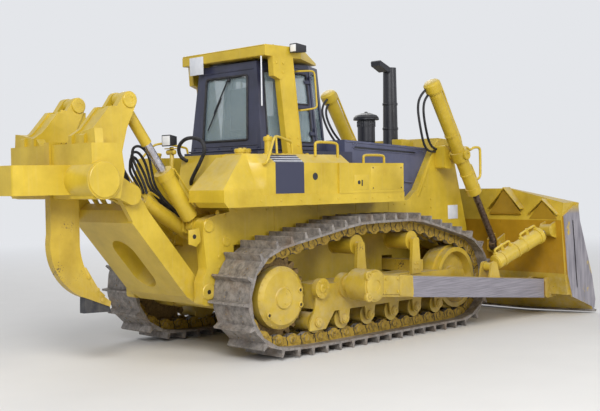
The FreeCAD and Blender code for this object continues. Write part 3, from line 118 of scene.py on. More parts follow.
# soft overcast light, and a pale sky for the eye, for chrome and for glass
world = bpy.data.worlds.new("overcast")
bpy.context.scene.world = world
world.use_nodes = True
sky = world.node_tree
shell = sky.nodes["Background"]
ray = add(sky, "ShaderNodeLightPath")
seen = add(sky, "ShaderNodeMath", {0: ray.outputs["Is Camera Ray"], 1: ray.outputs["Is Glossy Ray"]},
           operation="MAXIMUM")
shown = add(sky, "ShaderNodeMath", {0: seen.outputs[0], 1: ray.outputs["Is Transmission Ray"]},
            operation="MAXIMUM")
hue = add(sky, "ShaderNodeMix", {0: shown.outputs[0], 6: linear("#D5DBE6"), 7: linear("#E4E6EA")},
          data_type="RGBA")
level = add(sky, "ShaderNodeMapRange", {"Value": shown.outputs[0], "To Min": 0.6, "To Max": 1.0})
sky.links.new(hue.outputs[2], shell.inputs["Color"])
sky.links.new(level.outputs["Result"], shell.inputs["Strength"])

# white studio vinyl, laid flat, with the faint mottling of its matt skin
vinyl, tree, bsdf = finish("studio_vinyl")
place = add(tree, "ShaderNodeTexCoord").outputs["Object"]
mottle = add(tree, "ShaderNodeTexNoise", {"Vector": place, "Scale": 1.5, "Detail": 4.0})
ramp = add(tree, "ShaderNodeValToRGB", {"Fac": mottle.outputs["Fac"]})
ends(ramp, "#DAD7D2", "#E0DDD8")
tree.links.new(ramp.outputs["Color"], bsdf.inputs["Base Color"])
bsdf.inputs["Roughness"].default_value = 0.9
# beyond the lamps' reach the vinyl is seen as pale as the sky, so that no horizon shows
far = add(tree, "ShaderNodeVectorMath", {0: place}, operation="LENGTH")
fade = add(tree, "ShaderNodeMapRange", {"Value": far.outputs["Value"], "From Min": 7.0, "From Max": 24.0},
           interpolation_type="SMOOTHSTEP")
eye = add(tree, "ShaderNodeLightPath")
looked = add(tree, "ShaderNodeMath", {0: eye.outputs["Is Camera Ray"], 1: fade.outputs["Result"]},
             operation="MULTIPLY")
glow = add(tree, "ShaderNodeEmission", {"Color": linear("#E4E6EA"), "Strength": 1.0})
mixed = add(tree, "ShaderNodeMixShader", {0: looked.outputs[0], 1: bsdf.outputs[0], 2: glow.outputs[0]})
tree.links.new(mixed.outputs[0], tree.nodes["Material Output"].inputs["Surface"])
clear()
bpy.ops.mesh.primitive_plane_add(size=400, location=(0, 0, -0.002))
floor = bpy.context.object
floor.name = "floor"
floor.data.materials.append(vinyl)
floor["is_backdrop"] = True

for name, spot, turn, size, power in (
        ("key", (-13.0, -12.0, 12.0), (53, 0, -47), 8.0, 3000),
        ("side", (4.0, -17.0, 8.0), (64, 0, 13), 8.0, 900),
        ("far", (10.0, 12.0, 12.0), (-50, 0, -40), 10.0, 900)):
    lamp = bpy.data.lights.new(name, "AREA")
    lamp.size = size
    lamp.energy = power
    holder = bpy.data.objects.new(name, lamp)
    holder.location = spot
    holder.rotation_euler = tuple(math.radians(a) for a in turn)
    bpy.context.scene.collection.objects.link(holder)


# Welded main frame
# Thick steel plate, shot-blasted, then sprayed with two coats of alkyd enamel, now dusty and knocked.


def enamel(name, coat, dust, wear, dust_up):
    """Sprayed enamel: cloudy coat, dust on its upper faces and low down, small chips."""
    made, tree, bsdf = finish(name)
    place = add(tree, "ShaderNodeTexCoord").outputs["Object"]
    # fading and hand marks about 400 mm across
    cloud = add(tree, "ShaderNodeTexNoise", {"Vector": place, "Scale": 2.2, "Detail": 7.0, "Roughness": 0.62})
    tint = add(tree, "ShaderNodeValToRGB", {"Fac": cloud.outputs["Fac"]})
    ends(tint, coat[0], coat[1], 0.32, 0.68)
    # dust gathered in patches 30 to 100 mm across
    grain = add(tree, "ShaderNodeTexNoise", {"Vector": place, "Scale": 11.0, "Detail": 9.0, "Roughness": 0.68})
    face = add(tree, "ShaderNodeSeparateXYZ", {"Vector": add(tree, "ShaderNodeNewGeometry").outputs["Normal"]})
    high = add(tree, "ShaderNodeSeparateXYZ", {"Vector": place})
    flat = add(tree, "ShaderNodeMapRange", {"Value": face.outputs["Z"], "From Min": 0.35, "From Max": 0.95,
                                            "To Max": dust_up})
    low = add(tree, "ShaderNodeMapRange", {"Value": high.outputs["Z"], "From Min": 1.2, "From Max": 0.1,
                                           "To Max": 0.5})
    both = add(tree, "ShaderNodeMath", {0: flat.outputs["Result"], 1: low.outputs["Result"]}, operation="MAXIMUM")
    gather = add(tree, "ShaderNodeMapRange", {"Value": grain.outputs["Fac"], "From Min": 0.38, "From Max": 0.66})
    amount = add(tree, "ShaderNodeMath", {0: both.outputs[0], 1: gather.outputs["Result"]}, operation="MULTIPLY")
    # rain has run the dust down the upright faces in streaks 25 mm apart
    stretch = add(tree, "ShaderNodeMapping", {"Vector": place, "Scale": (34.0, 34.0, 1.6)})
    run = add(tree, "ShaderNodeTexNoise", {"Vector": stretch.outputs["Vector"], "Scale": 1.0, "Detail": 4.0})
    wash = add(tree, "ShaderNodeMapRange", {"Value": run.outputs["Fac"], "From Min": 0.55, "From Max": 0.85,
                                            "To Max": 0.16})
    film = add(tree, "ShaderNodeMath", {0: amount.outputs[0], 1: wash.outputs["Result"]}, operation="ADD",
               use_clamp=True)
    dusty = add(tree, "ShaderNodeMix", {0: film.outputs[0], 6: tint.outputs["Color"], 7: linear(dust)},
                data_type="RGBA")
    # knocks down to the steel, 5 to 15 mm across
    knock = add(tree, "ShaderNodeTexNoise", {"Vector": place, "Scale": 42.0, "Detail": 5.0, "Roughness": 0.7})
    patch = add(tree, "ShaderNodeTexNoise", {"Vector": place, "Scale": 3.1, "Detail": 2.0})
    sharp = add(tree, "ShaderNodeMath", {0: knock.outputs["Fac"], 1: patch.outputs["Fac"]}, operation="MULTIPLY")
    chip = add(tree, "ShaderNodeMapRange", {"Value": sharp.outputs[0], "From Min": wear, "From Max": wear + 0.02})
    done = add(tree, "ShaderNodeMix", {0: chip.outputs["Result"], 6: dusty.outputs[2], 7: linear("#5A4630")},
               data_type="RGBA")
    tree.links.new(done.outputs[2], bsdf.inputs["Base Color"])
    sheen = add(tree, "ShaderNodeMapRange", {"Value": film.outputs[0], "To Min": 0.36, "To Max": 0.85})
    tree.links.new(sheen.outputs["Result"], bsdf.inputs["Roughness"])
    # orange peel of the spray gun, drawn at 12 mm so that it shows
    peel = add(tree, "ShaderNodeTexNoise", {"Vector": place, "Scale": 80.0, "Detail": 2.0})
    bump = add(tree, "ShaderNodeBump", {"Height": peel.outputs["Fac"], "Strength": 0.06, "Distance": 0.004})
    tree.links.new(bump.outputs["Normal"], bsdf.inputs["Normal"])
    return made


yellow = enamel("machine_yellow_enamel", ("#B59820", "#D2B436"), "#C4B692", 0.475, 0.5)
low_yellow = enamel("sandy_yellow_enamel", ("#A98C22", "#CDAE36"), "#B5A78A", 0.43, 0.95)
black = enamel("heat_black_enamel", ("#1C1C22", "#27282E"), "#77736C", 0.50, 0.35)

for node in ("hull", "ripper_bracket"):
    dress(node, yellow)
for node in ("pivot_shaft", "equalizer_bar"):
    dress(node, low_yellow)
dress("engine_block", black)


def spot(x, y, z):
    """A place in the frame's metres, from millimetres along, across and above the sprocket's axle."""
    return Vector((x / 1000 - 1.475, y / 1000, z / 1000))


def at_side(y, *corners):
    """Places in one upright plane along the machine, from (along, above) in millimetres."""
    return [spot(x, y, z) for x, z in corners]


def at_height(z, *corners):
    """Places at one height, from (along, across) in millimetres."""
    return [spot(x, y, z) for x, y in corners]


def route(*places):
    """Places on a bent line, from (along, across, above) in millimetres."""
    return [spot(*place) for place in places]


def keep(piece, name, body, slot, *materials, angle=35):
    """A finished piece: its place in its mesh, rounds smoothed, painted, riding on its body."""
    clear()
    piece.select_set(True)
    bpy.context.view_layer.objects.active = piece
    bpy.ops.object.transform_apply(location=True, rotation=True, scale=True)
    bpy.ops.object.shade_smooth_by_angle(angle=math.radians(angle))
    piece.name = name
    piece.data.name = name
    if materials:
        piece.data.materials.clear()
        for material in materials:
            piece.data.materials.append(material)
    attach(piece, body)
    return piece


def faces_where(piece, test):
    """In edit mode, selects only the faces whose middle and normal pass the test."""
    bpy.ops.mesh.select_mode(type="FACE")
    bpy.ops.mesh.select_all(action="DESELECT")
    bpy.ops.object.mode_set(mode="OBJECT")
    for face in piece.data.polygons:
        face.select = bool(test(piece.matrix_world @ face.center, piece.matrix_world.to_3x3() @ face.normal))
    bpy.ops.object.mode_set(mode="EDIT")


def soften(piece, width, steps=2, angle=30):
    """Rounds a piece's sharp edges, as grinding and paint do."""
    clear()
    bpy.context.view_layer.objects.active = piece
    rounder = piece.modifiers.new("edges", "BEVEL")
    rounder.width = width
    rounder.segments = steps
    rounder.limit_method = "ANGLE"
    rounder.angle_limit = math.radians(angle)
    bpy.ops.object.modifier_apply(modifier=rounder.name)


def turned(foot, axis, rows, sides=28):
    """A turned piece: a disc at its foot, drawn out along its axis row by row (height mm, radius mm)."""
    clear()
    axis = Vector(axis).normalized()
    bpy.ops.mesh.primitive_circle_add(vertices=sides, radius=rows[0][1] / 1000, fill_type="NGON",
                                      location=foot + axis * (rows[0][0] / 1000),
                                      rotation=axis.to_track_quat("Z", "Y").to_euler())
    piece = bpy.context.object
    bpy.ops.object.mode_set(mode="EDIT")
    bpy.ops.mesh.select_all(action="SELECT")
    for (h0, r0), (h1, r1) in zip(rows, rows[1:]):
        bpy.ops.mesh.extrude_region_move(TRANSFORM_OT_translate={"value": axis * ((h1 - h0) / 1000)})
        if r1 != r0:
            bpy.ops.transform.resize(value=(r1 / r0,) * 3, center_override=foot + axis * (h1 / 1000))
    bpy.ops.mesh.select_all(action="SELECT")
    bpy.ops.mesh.normals_make_consistent(inside=False)
    bpy.ops.object.mode_set(mode="OBJECT")
    return piece


def bead(start, end, thin, thick, taper=3, sides=8):
    """A weld bead or seam from one place to another, thick in the middle and thin at its ends (radius mm)."""
    long = (end - start).length * 1000
    return turned(start, end - start, ((0, thin), (taper, thick), (long - taper, thick), (long, thin)), sides)


def flame_cut(corners, through, edge=0.004):
    """A plate flame-cut to its corners, then pushed through its thickness, with ground edges."""
    clear()
    bpy.ops.mesh.primitive_circle_add(vertices=len(corners), radius=1, fill_type="NGON")
    piece = bpy.context.object
    for vertex, corner in zip(piece.data.vertices, corners):
        vertex.co = corner
    bpy.ops.object.mode_set(mode="EDIT")
    bpy.ops.mesh.select_all(action="SELECT")
    bpy.ops.mesh.extrude_region_move(TRANSFORM_OT_translate={"value": Vector(through) / 1000})
    bpy.ops.mesh.select_all(action="SELECT")
    bpy.ops.mesh.normals_make_consistent(inside=False)
    bpy.ops.object.mode_set(mode="OBJECT")
    if edge:
        soften(piece, edge)
    return piece


def facing(point, way):
    """The place and turn of a copy that stands on a point and faces a way."""
    return Matrix.Translation(point) @ Vector(way).to_track_quat("Z", "Y").to_matrix().to_4x4()


def copies(master, places):
    """A piece modelled once at the origin, copied to its places with a mesh for each, then joined."""
    made = []
    for place in places:
        copy = master.copy()
        copy.data = master.data.copy()
        copy.matrix_world = place
        bpy.context.scene.collection.objects.link(copy)
        made.append(copy)
    bpy.data.objects.remove(master)
    return joined(made)


def joined(pieces):
    """Pieces welded into one."""
    clear()
    for piece in pieces:
        piece.select_set(True)
    bpy.context.view_layer.objects.active = pieces[0]
    if len(pieces) > 1:
        bpy.ops.object.join()
    return bpy.context.view_layer.objects.active


def bolt_head(across, washer=True):
    """A hexagon bolt's head on its washer, facing up from the origin; across is half its width in mm."""
    clear()
    r = across / 1000
    bpy.ops.mesh.primitive_cylinder_add(vertices=6, radius=r, depth=0.7 * r, location=(0, 0, 0.35 * r + 0.002))
    head = bpy.context.object
    bpy.ops.object.mode_set(mode="EDIT")
    faces_where(head, lambda middle, normal: normal.z > 0.9)
    bpy.ops.mesh.inset(thickness=0.22 * r, depth=0.08 * r)
    bpy.ops.object.mode_set(mode="OBJECT")
    if not washer:
        return head
    bpy.ops.mesh.primitive_cylinder_add(vertices=12, radius=1.45 * r, depth=0.004, location=(0, 0, 0.001))
    ring = bpy.context.object
    bpy.ops.object.mode_set(mode="EDIT")
    faces_where(ring, lambda middle, normal: normal.z > 0.9)
    bpy.ops.mesh.inset(thickness=0.16 * r, depth=0.001)
    bpy.ops.object.mode_set(mode="OBJECT")
    return joined([head, ring])


# seams of the welded deck plates and their bolts, along the band over the tracks
deck_y = 715
seams = [bead(spot(x, side * deck_y, 1350), spot(x, side * deck_y, 1730), 4, 7, 2)
         for side in (-1, 1) for x in (420, 1180, 1900, 2560)]
keep(joined(seams), "deck_weld_seams", "chassis", "yellow_paint", yellow)
places = [facing(spot(x, side * deck_y, 1690), (0, side, 0)) for side in (-1, 1)
          for x in (-180, 60, 300, 540, 1060, 1300, 2680, 2920)]
keep(copies(bolt_head(16), places), "deck_bolts", "chassis", "yellow_paint", yellow)


# Track frames
# Box sections welded from plate, with roller guard webs under them; the pivot housings bolt on outside.
dress("track_frames", low_yellow)


def ring_round(axis, aside, foot, radius, count):
    """Places and turns of bolts in a ring, in metres round a foot, facing along its axis."""
    turns = [i * math.tau / count for i in range(count)]
    return [facing(foot + radius * (aside * math.cos(a) + axis.cross(aside) * math.sin(a)), axis) for a in turns]


forwards = Vector((1, 0, 0))
caps = []
for side in (-1, 1):
    for x in range(560, 3000, 468):
        caps.append(turned(spot(x, side * 1309, 360), (0, side, 0), ((0, 46), (9, 44), (11, 38), (11, 16), (5, 14))))
keep(joined(caps), "roller_shaft_caps", "chassis", "yellow_paint", low_yellow)
places = []
for side in (-1, 1):
    places += ring_round(Vector((0, side, 0)), forwards, spot(600, side * 1335, 760), 0.088, 6)
    places += [facing(spot(x + dx, side * 1310, z), (0, side, 0)) for x in (1320, 2400)
               for dx in (-28, 28) for z in (860, 930)]
    places += [facing(spot(x, side * 1287, 545), (0, side, 0)) for x in range(1300, 2861, 260)]
keep(copies(bolt_head(17), places), "track_frame_bolts", "chassis", "yellow_paint", low_yellow)
covers = []
for side in (-1, 1):
    # oil cover of the pivot shaft
    covers.append(turned(spot(600, side * 1335, 760), (0, side, 0), ((0, 52), (8, 52), (12, 46), (12, 20), (7, 18))))
    # tension valve's cover over the recoil spring
    covers.append(flame_cut(at_side(side * 1287, (1900, 640), (2330, 640), (2330, 760), (1900, 760)),
                            (0, side * 14, 0), 0.006))
    # sloping plates that shed dirt from the frame's top, between the carrier posts
    covers.append(flame_cut(at_height(800, (1390, side * 1150), (2330, side * 1150), (2330, side * 1262),
                                      (1390, side * 1262)), (0, 0, 18), 0.005))
keep(joined(covers), "track_frame_covers", "chassis", "yellow_paint", low_yellow)


# Final drives and sprockets
# Cast housings, machined and enamelled; the cover is a dome with a centre plate and three oil plugs.
dress("final_drives", low_yellow)


def mottled(name, shades, spans, rough, metal, relief, kind="ShaderNodeTexNoise", **pattern):
    """Two shades that run into each other over a pattern, with its relief as bump (strength, depth in metres)."""
    made, tree, bsdf = finish(name)
    place = add(tree, "ShaderNodeTexCoord").outputs["Object"]
    cast = add(tree, kind, {"Vector": place, **pattern})
    ramp = add(tree, "ShaderNodeValToRGB", {"Fac": cast.outputs["Fac"]})
    ends(ramp, *shades, *spans)
    tree.links.new(ramp.outputs["Color"], bsdf.inputs["Base Color"])
    bsdf.inputs["Metallic"].default_value = metal
    bsdf.inputs["Roughness"].default_value = rough
    if relief:
        bump = add(tree, "ShaderNodeBump", {"Height": cast.outputs["Fac"], "Strength": relief[0],
                                            "Distance": relief[1]})
        tree.links.new(bump.outputs["Normal"], bsdf.inputs["Normal"])
    return made


# flame-hardened sprocket teeth, rusty brown where the pins don't polish them
tooth_steel = mottled("rusty_cast_steel", ("#4E3A22", "#9A7F4C"), (0.3, 0.66), 0.7, 0.35, (0.4, 0.006),
                      Scale=24.0, Detail=8.0, Roughness=0.72)
dress("sprockets", tooth_steel)

# bottoms of plug holes, pin bores and gaps: old grease, and painted shade where the holes and gaps fall dark
grease_and_shade = mottled("old_grease_and_painted_shade", ("#17130F", "#2E2519"), (0, 1), 0.6, 0, None, Scale=60.0, Detail=4.0)

hubs, plugs = [], []
for side in (-1, 1):
    hubs.append(turned(spot(0, side * 1300, 700), (0, side, 0),
                       ((-6, 121), (6, 121), (9, 117), (9, 108), (4, 106)), 48))
    for x, z in ((-229, 522), (269, 769), (275, 600)):
        # the plugs stand in raised rings on the dome's rim
        hubs.append(turned(spot(x, side * 1286, z), (0, side, 0),
                           ((0, 38), (10, 36), (13, 31), (13, 22), (6, 21)), 20))
        plugs.append(turned(spot(x, side * 1292.5, z), (0, side, 0), ((0, 20), (1.5, 19)), 6))
keep(joined(hubs), "hub_cover_plates", "chassis", "yellow_paint", low_yellow)
keep(joined(plugs), "hub_oil_plugs", "chassis", "black_paint", grease_and_shade)
places = []
for side in (-1, 1):
    places += [facing(spot(64 * math.cos(a), side * 1304.5, 700 + 64 * math.sin(a)), (0, side, 0))
               for a in (0.9, 4.9)]
    places += ring_round(Vector((0, side, 0)), forwards, spot(0, side * 1258, 700), 0.338, 24)
keep(copies(bolt_head(12), places), "hub_bolts", "chassis", "yellow_paint", low_yellow)


# Rollers and idlers
# Forged and turned, running in oil on shafts whose end collars bolt to the frame.
for node in ("idlers", "track_rollers", "carrier_rollers"):
    dress(node, low_yellow)
collars = []
for side in (-1, 1):
    for x in (1320, 2400):
        collars.append(turned(spot(x, side * 1190, 1229.7), (0, side, 0),
                              ((-40, 84), (18, 84), (24, 76), (24, 30), (18, 28))))
    collars.append(turned(spot(3400, side * 1130, 668), (0, side, 0),
                          ((0, 130), (26, 130), (34, 118), (34, 52), (26, 50)), 36))
keep(joined(collars), "roller_end_collars", "chassis", "yellow_paint", low_yellow)
places = []
for side in (-1, 1):
    places += ring_round(Vector((0, side, 0)), forwards, spot(3400, side * 1164, 668), 0.092, 8)
keep(copies(bolt_head(13), places), "idler_bolts", "chassis", "yellow_paint", low_yellow)


# Tracks
# Rolled boron-steel shoes with one grouser each, bolted on pairs of forged links that hinge on pressed-in pins.


def track_metal(name, low_shade, high_shade, rust_share):
    """Scoured steel with dried dirt in its pits; the link rails' outer sides keep yellow paint and rust."""
    made, tree, bsdf = finish(name)
    place = add(tree, "ShaderNodeTexCoord").outputs["Object"]
    scale = add(tree, "ShaderNodeTexNoise", {"Vector": place, "Scale": 14.0, "Detail": 9.0, "Roughness": 0.7})
    ramp = add(tree, "ShaderNodeValToRGB", {"Fac": scale.outputs["Fac"]})
    ends(ramp, low_shade, high_shade, 0.3, 0.62)
    rust = add(tree, "ShaderNodeTexNoise", {"Vector": place, "Scale": 5.0, "Detail": 6.0})
    rusty = add(tree, "ShaderNodeMapRange", {"Value": rust.outputs["Fac"], "From Min": 0.5, "From Max": 0.72,
                                             "To Max": rust_share})
    blend = add(tree, "ShaderNodeMix", {0: rusty.outputs["Result"], 6: ramp.outputs["Color"],
                                        7: linear("#7D6245")}, data_type="RGBA")
    # the links stand within 163 mm of the chain's middle, and face sideways
    face = add(tree, "ShaderNodeSeparateXYZ", {"Vector": add(tree, "ShaderNodeNewGeometry").outputs["Normal"]})
    flank = add(tree, "ShaderNodeMath", {0: add(tree, "ShaderNodeMath", {0: face.outputs["Y"]},
                                                operation="ABSOLUTE").outputs[0], 1: 0.8},
                operation="GREATER_THAN")
    across = add(tree, "ShaderNodeMath", {0: add(tree, "ShaderNodeSeparateXYZ", {"Vector": place}).outputs["Y"]},
                 operation="ABSOLUTE")
    middle = add(tree, "ShaderNodeMath", {0: across.outputs[0], 1: 1.05}, operation="SUBTRACT")
    within = add(tree, "ShaderNodeMath", {0: add(tree, "ShaderNodeMath", {0: middle.outputs[0]},
                                                 operation="ABSOLUTE").outputs[0], 1: 0.19},
                 operation="LESS_THAN")
    link = add(tree, "ShaderNodeMath", {0: flank.outputs[0], 1: within.outputs[0]}, operation="MULTIPLY")
    paint = add(tree, "ShaderNodeValToRGB", {"Fac": scale.outputs["Fac"]})
    ends(paint, "#5C4A20", "#AD8E34", 0.36, 0.52)
    done = add(tree, "ShaderNodeMix", {0: link.outputs[0], 6: blend.outputs[2], 7: paint.outputs["Color"]},
               data_type="RGBA")
    tree.links.new(done.outputs[2], bsdf.inputs["Base Color"])
    bsdf.inputs["Metallic"].default_value = 0.3
    bsdf.inputs["Roughness"].default_value = 0.6
    rough = add(tree, "ShaderNodeBump", {"Height": scale.outputs["Fac"], "Strength": 0.35, "Distance": 0.006})
    tree.links.new(rough.outputs["Normal"], bsdf.inputs["Normal"])
    return made


shoe_steel = track_metal("scoured_shoe_steel", "#57524F", "#9C958E", 0.45)
for node in ("track_left", "track_right"):
    dress(node, shoe_steel)

# The chain's round: wheels as (x, z, pitch radius) in mm, passed clockwise as seen from the right.
# Each pin sits at an equal share of the length of its tangents and arcs.
pin_count, chain_y = 43, 1050
round_about = [(0.0, 700.0, 496.0), (1320.0, 1229.7, 190.3), (2400.0, 1229.7, 190.3),
               (3400.0, 668.0, 490.0), (560.0, 360.3, 182.3)]
angles = []
for i, (x, z, r) in enumerate(round_about):
    x2, z2, r2 = round_about[(i + 1) % 5]
    apart = math.hypot(x2 - x, z2 - z)
    angles.append(math.atan2(z2 - z, x2 - x) + math.asin((r2 - r) / apart) + math.pi / 2)
legs = []
for i, (x, z, r) in enumerate(round_about):
    turn = (angles[i - 1] - angles[i]) % math.tau
    legs.append((r * turn, Vector((x, z)), r, angles[i - 1], None))
    x2, z2, r2 = round_about[(i + 1) % 5]
    way = Vector((math.cos(angles[i]), math.sin(angles[i])))
    start, end = Vector((x, z)) + r * way, Vector((x2, z2)) + r2 * way
    legs.append(((end - start).length, start, 0.0, angles[i], end))
whole = sum(leg[0] for leg in legs)
pins = []
for k in range(pin_count):
    left = whole * k / pin_count
    for length, start, r, a, end in legs:
        if left <= length:
            break
        left -= length
    if end is None:
        a -= left / r
        pins.append(start + r * Vector((math.cos(a), math.sin(a))))
    else:
        pins.append(start.lerp(end, left / length))

# a link's eye round its pin, standing on the rail, with the pin's end sunk in its bore
eye = turned(Vector(), (0, 0, 1), ((-4, 50), (5, 49), (7, 46), (7, 27), (3, 26)), 16)
bores = turned(Vector(), (0, 0, 1), ((3.2, 26), (5.5, 25)), 12)
flanks = [(side, way) for side in (-1, 1) for way in (-1, 1)]
places = [facing(spot(pin.x, side * chain_y + way * 162, pin.y), (0, way, 0)) for pin in pins for side, way in flanks]
keep(copies(eye, places), "link_eyes", "chassis", "worn_steel", shoe_steel)
# the bores' dark bottoms are painted shade with old grease
keep(copies(bores, places), "link_pin_bores", "chassis", "black_paint", grease_and_shade)
# painted shade: the gap between one link and the next, drawn as a dark saw-tooth notch along the rail
notch = flame_cut([Vector((-0.006, -0.060, 0)), Vector((0.010, -0.052, 0)), Vector((0.012, -0.012, 0)),
                   Vector((-0.010, 0.020, 0)), Vector((-0.014, 0.062, 0)), Vector((-0.026, 0.062, 0)),
                   Vector((-0.022, 0.016, 0)), Vector((0.002, -0.016, 0))], (0, 0, 2.5), 0)
places = []
for pin, ahead in zip(pins, pins[1:] + pins[:1]):
    along = Vector((ahead.x - pin.x, 0, ahead.y - pin.y)).normalized()
    for side, way in flanks:
        out = Vector((0, way, 0))
        up = out.cross(along)
        turn = Matrix((along, up, out)).transposed().to_4x4()
        middle = pin.lerp(ahead, 0.44)
        places.append(Matrix.Translation(spot(middle.x, side * chain_y + way * 161.5, middle.y)) @ turn)
keep(copies(notch, places), "link_gaps", "chassis", "black_paint", grease_and_shade)
# four bolts hold a shoe; their heads lie on its outer face behind the grouser
places = []
for pin, ahead in zip(pins, pins[1:] + pins[:1]):
    along = Vector((ahead.x - pin.x, 0, ahead.y - pin.y)).normalized()
    out = Vector((-along.z, 0, along.x))
    for share in (0.42, 0.74):
        foot = pin.lerp(ahead, share)
        foot = Vector((foot.x, 0, foot.y)) + out * 97
        for side in (-1, 1):
            for y in (-127, 127):
                places.append(facing(spot(foot.x, side * chain_y + y, foot.z), out))
keep(copies(bolt_head(19, washer=False), places), "shoe_bolts", "chassis", "worn_steel", shoe_steel)


# Push arms
# Box beams welded from thick plate; the trunnion socket's cap bolts on in front of the ball.


def scoured_enamel(name, coat, from_x, until_x):
    """Dusty yellow enamel, rubbed down to grey steel on the upright outer faces between two places along X."""
    made = low_yellow.copy()
    made.name = name
    tree = made.node_tree
    bsdf = tree.nodes["Principled BSDF"]
    painted = bsdf.inputs["Base Color"].links[0].from_socket
    place = add(tree, "ShaderNodeTexCoord").outputs["Object"]
    along = add(tree, "ShaderNodeSeparateXYZ", {"Vector": place})
    face = add(tree, "ShaderNodeSeparateXYZ", {"Vector": add(tree, "ShaderNodeNewGeometry").outputs["Normal"]})
    level = add(tree, "ShaderNodeMath", {0: face.outputs["Z"]}, operation="ABSOLUTE")
    upright = add(tree, "ShaderNodeMath", {0: level.outputs[0], 1: 0.5}, operation="LESS_THAN")
    wide = add(tree, "ShaderNodeMath", {0: along.outputs["Y"]}, operation="ABSOLUTE")
    outer = add(tree, "ShaderNodeMath", {0: wide.outputs[0], 1: 1.755}, operation="GREATER_THAN")
    upright = add(tree, "ShaderNodeMath", {0: upright.outputs[0], 1: outer.outputs[0]}, operation="MULTIPLY")
    ragged = add(tree, "ShaderNodeTexNoise", {"Vector": place, "Scale": 6.0, "Detail": 6.0})
    edge = add(tree, "ShaderNodeMath", {0: ragged.outputs["Fac"], 1: 0.16, 2: -0.08}, operation="MULTIPLY_ADD")
    moved = add(tree, "ShaderNodeMath", {0: along.outputs["X"], 1: edge.outputs[0]}, operation="ADD")
    begun = add(tree, "ShaderNodeMath", {0: moved.outputs[0], 1: from_x}, operation="GREATER_THAN")
    over = add(tree, "ShaderNodeMath", {0: moved.outputs[0], 1: until_x}, operation="LESS_THAN")
    both = add(tree, "ShaderNodeMath", {0: begun.outputs[0], 1: over.outputs[0]}, operation="MULTIPLY")
    rubbed = add(tree, "ShaderNodeMath", {0: both.outputs[0], 1: upright.outputs[0]}, operation="MULTIPLY")
    # scratches drawn along the machine, about 8 mm apart
    drawn = add(tree, "ShaderNodeMapping", {"Vector": place, "Scale": (2.5, 20.0, 120.0)})
    scratch = add(tree, "ShaderNodeTexNoise", {"Vector": drawn.outputs["Vector"], "Scale": 1.0, "Detail": 6.0})
    grey = add(tree, "ShaderNodeValToRGB", {"Fac": scratch.outputs["Fac"]})
    ends(grey, coat[0], coat[1], 0.3, 0.68)
    done = add(tree, "ShaderNodeMix", {0: rubbed.outputs[0], 6: painted, 7: grey.outputs["Color"]},
               data_type="RGBA")
    tree.links.new(done.outputs[2], bsdf.inputs["Base Color"])
    return made


arm_enamel = scoured_enamel("rubbed_arm_enamel", ("#6F6B72", "#98939A"), 0.28, 3.4)
dress("push_arms", arm_enamel)
caps = []
for side in (-1, 1):
    # socket cap: a thick plate round the trunnion with a machined ring
    caps.append(turned(spot(1050, side * 1758, 780), (0, side, 0),
                       ((0, 165), (16, 165), (22, 156), (22, 70), (14, 66)), 40))
    caps.append(flame_cut(at_side(side * 1760, (1180, 890), (1480, 866), (1480, 640), (1180, 665)),
                          (0, side * 24, 0), 0.012))
    caps.append(flame_cut(at_side(side * 1760, (1490, 876), (1718, 850), (1718, 590), (1490, 624)),
                          (0, side * 12, 0), 0.005))
    # ears of the cap's two bolts
    for z in (905, 655):
        caps.append(turned(spot(925, side * 1740, z), (0, side, 0),
                           ((0, 58), (34, 58), (42, 50), (42, 30), (34, 28)), 24))
keep(joined(caps), "trunnion_socket_caps", "blade_frame", "yellow_paint", low_yellow)
places = [facing(spot(x, side * 1784, z), (0, side, 0)) for side in (-1, 1)
          for x, z in ((1215, 850), (1440, 836), (1215, 700), (1440, 680))]
places += [facing(spot(925, side * 1774, z), (0, side, 0)) for side in (-1, 1) for z in (905, 655)]
keep(copies(bolt_head(20), places), "socket_cap_bolts", "blade_frame", "yellow_paint", low_yellow)


# Tilt cylinder and brace
# Drawn steel tube with a welded base, bolted gland and steel pipes clipped along it; on the left a plain brace.
for node in ("tilt_barrel", "tilt_brace"):
    dress(node, yellow)
tail, nose = spot(3621, -1605, 813), spot(4743, -1855, 1275)
line = (nose - tail).normalized()
over = (Vector((0, 0, 1)) - line * line.z).normalized()
sleeve = turned(tail, line, ((118, 60), (140, 104), (690, 104), (700, 112), (716, 112), (724, 106), (985, 106),
                             (992, 118), (1052, 118), (1062, 108), (1062, 60)), 40)
bands = [turned(tail + line * (h / 1000), line, ((0, 108), (0.5, 113), (29.5, 113), (30, 108)), 40)
         for h in (250, 520)]
keep(joined([sleeve] + bands), "tilt_cylinder_tube", "blade_frame", "yellow_paint", yellow)
places = ring_round(line, over, tail + line * 1.052, 0.093, 10)
keep(copies(bolt_head(9, washer=False), places), "tilt_gland_bolts", "blade_frame", "yellow_paint", yellow)


def bent_line(points, radius, name, steps, rounds, closed=False):
    """A rounded line through its bends, with a radius in mm; a closed one runs on into its start."""
    clear()
    curve = bpy.data.curves.new(name, "CURVE")
    curve.dimensions = "3D"
    spline = curve.splines.new("NURBS")
    spline.points.add(len(points) - 1)
    for point, co in zip(spline.points, points):
        point.co = (*co, 1.0)
    spline.order_u = 3
    spline.use_endpoint_u = not closed
    spline.use_cyclic_u = closed
    spline.resolution_u = steps
    curve.bevel_depth = radius / 1000
    curve.bevel_resolution = rounds
    curve.use_fill_caps = not closed
    piece = bpy.data.objects.new(name, curve)
    bpy.context.scene.collection.objects.link(piece)
    return piece


def meshed(piece):
    """A bent line made a mesh."""
    piece.select_set(True)
    bpy.context.view_layer.objects.active = piece
    bpy.ops.object.convert(target="MESH")
    return bpy.context.object


def oil_pipe(points, radius, name, body):
    """A bent steel pipe in the colour of the machine."""
    keep(meshed(bent_line(points, radius, name, 8, 3)), name, body, "yellow_paint", yellow, angle=50)


def on_tube(along, out):
    """A place over the tilt cylinder: mm along it and mm from its middle."""
    return tail + line * (along / 1000) + over * (out / 1000)


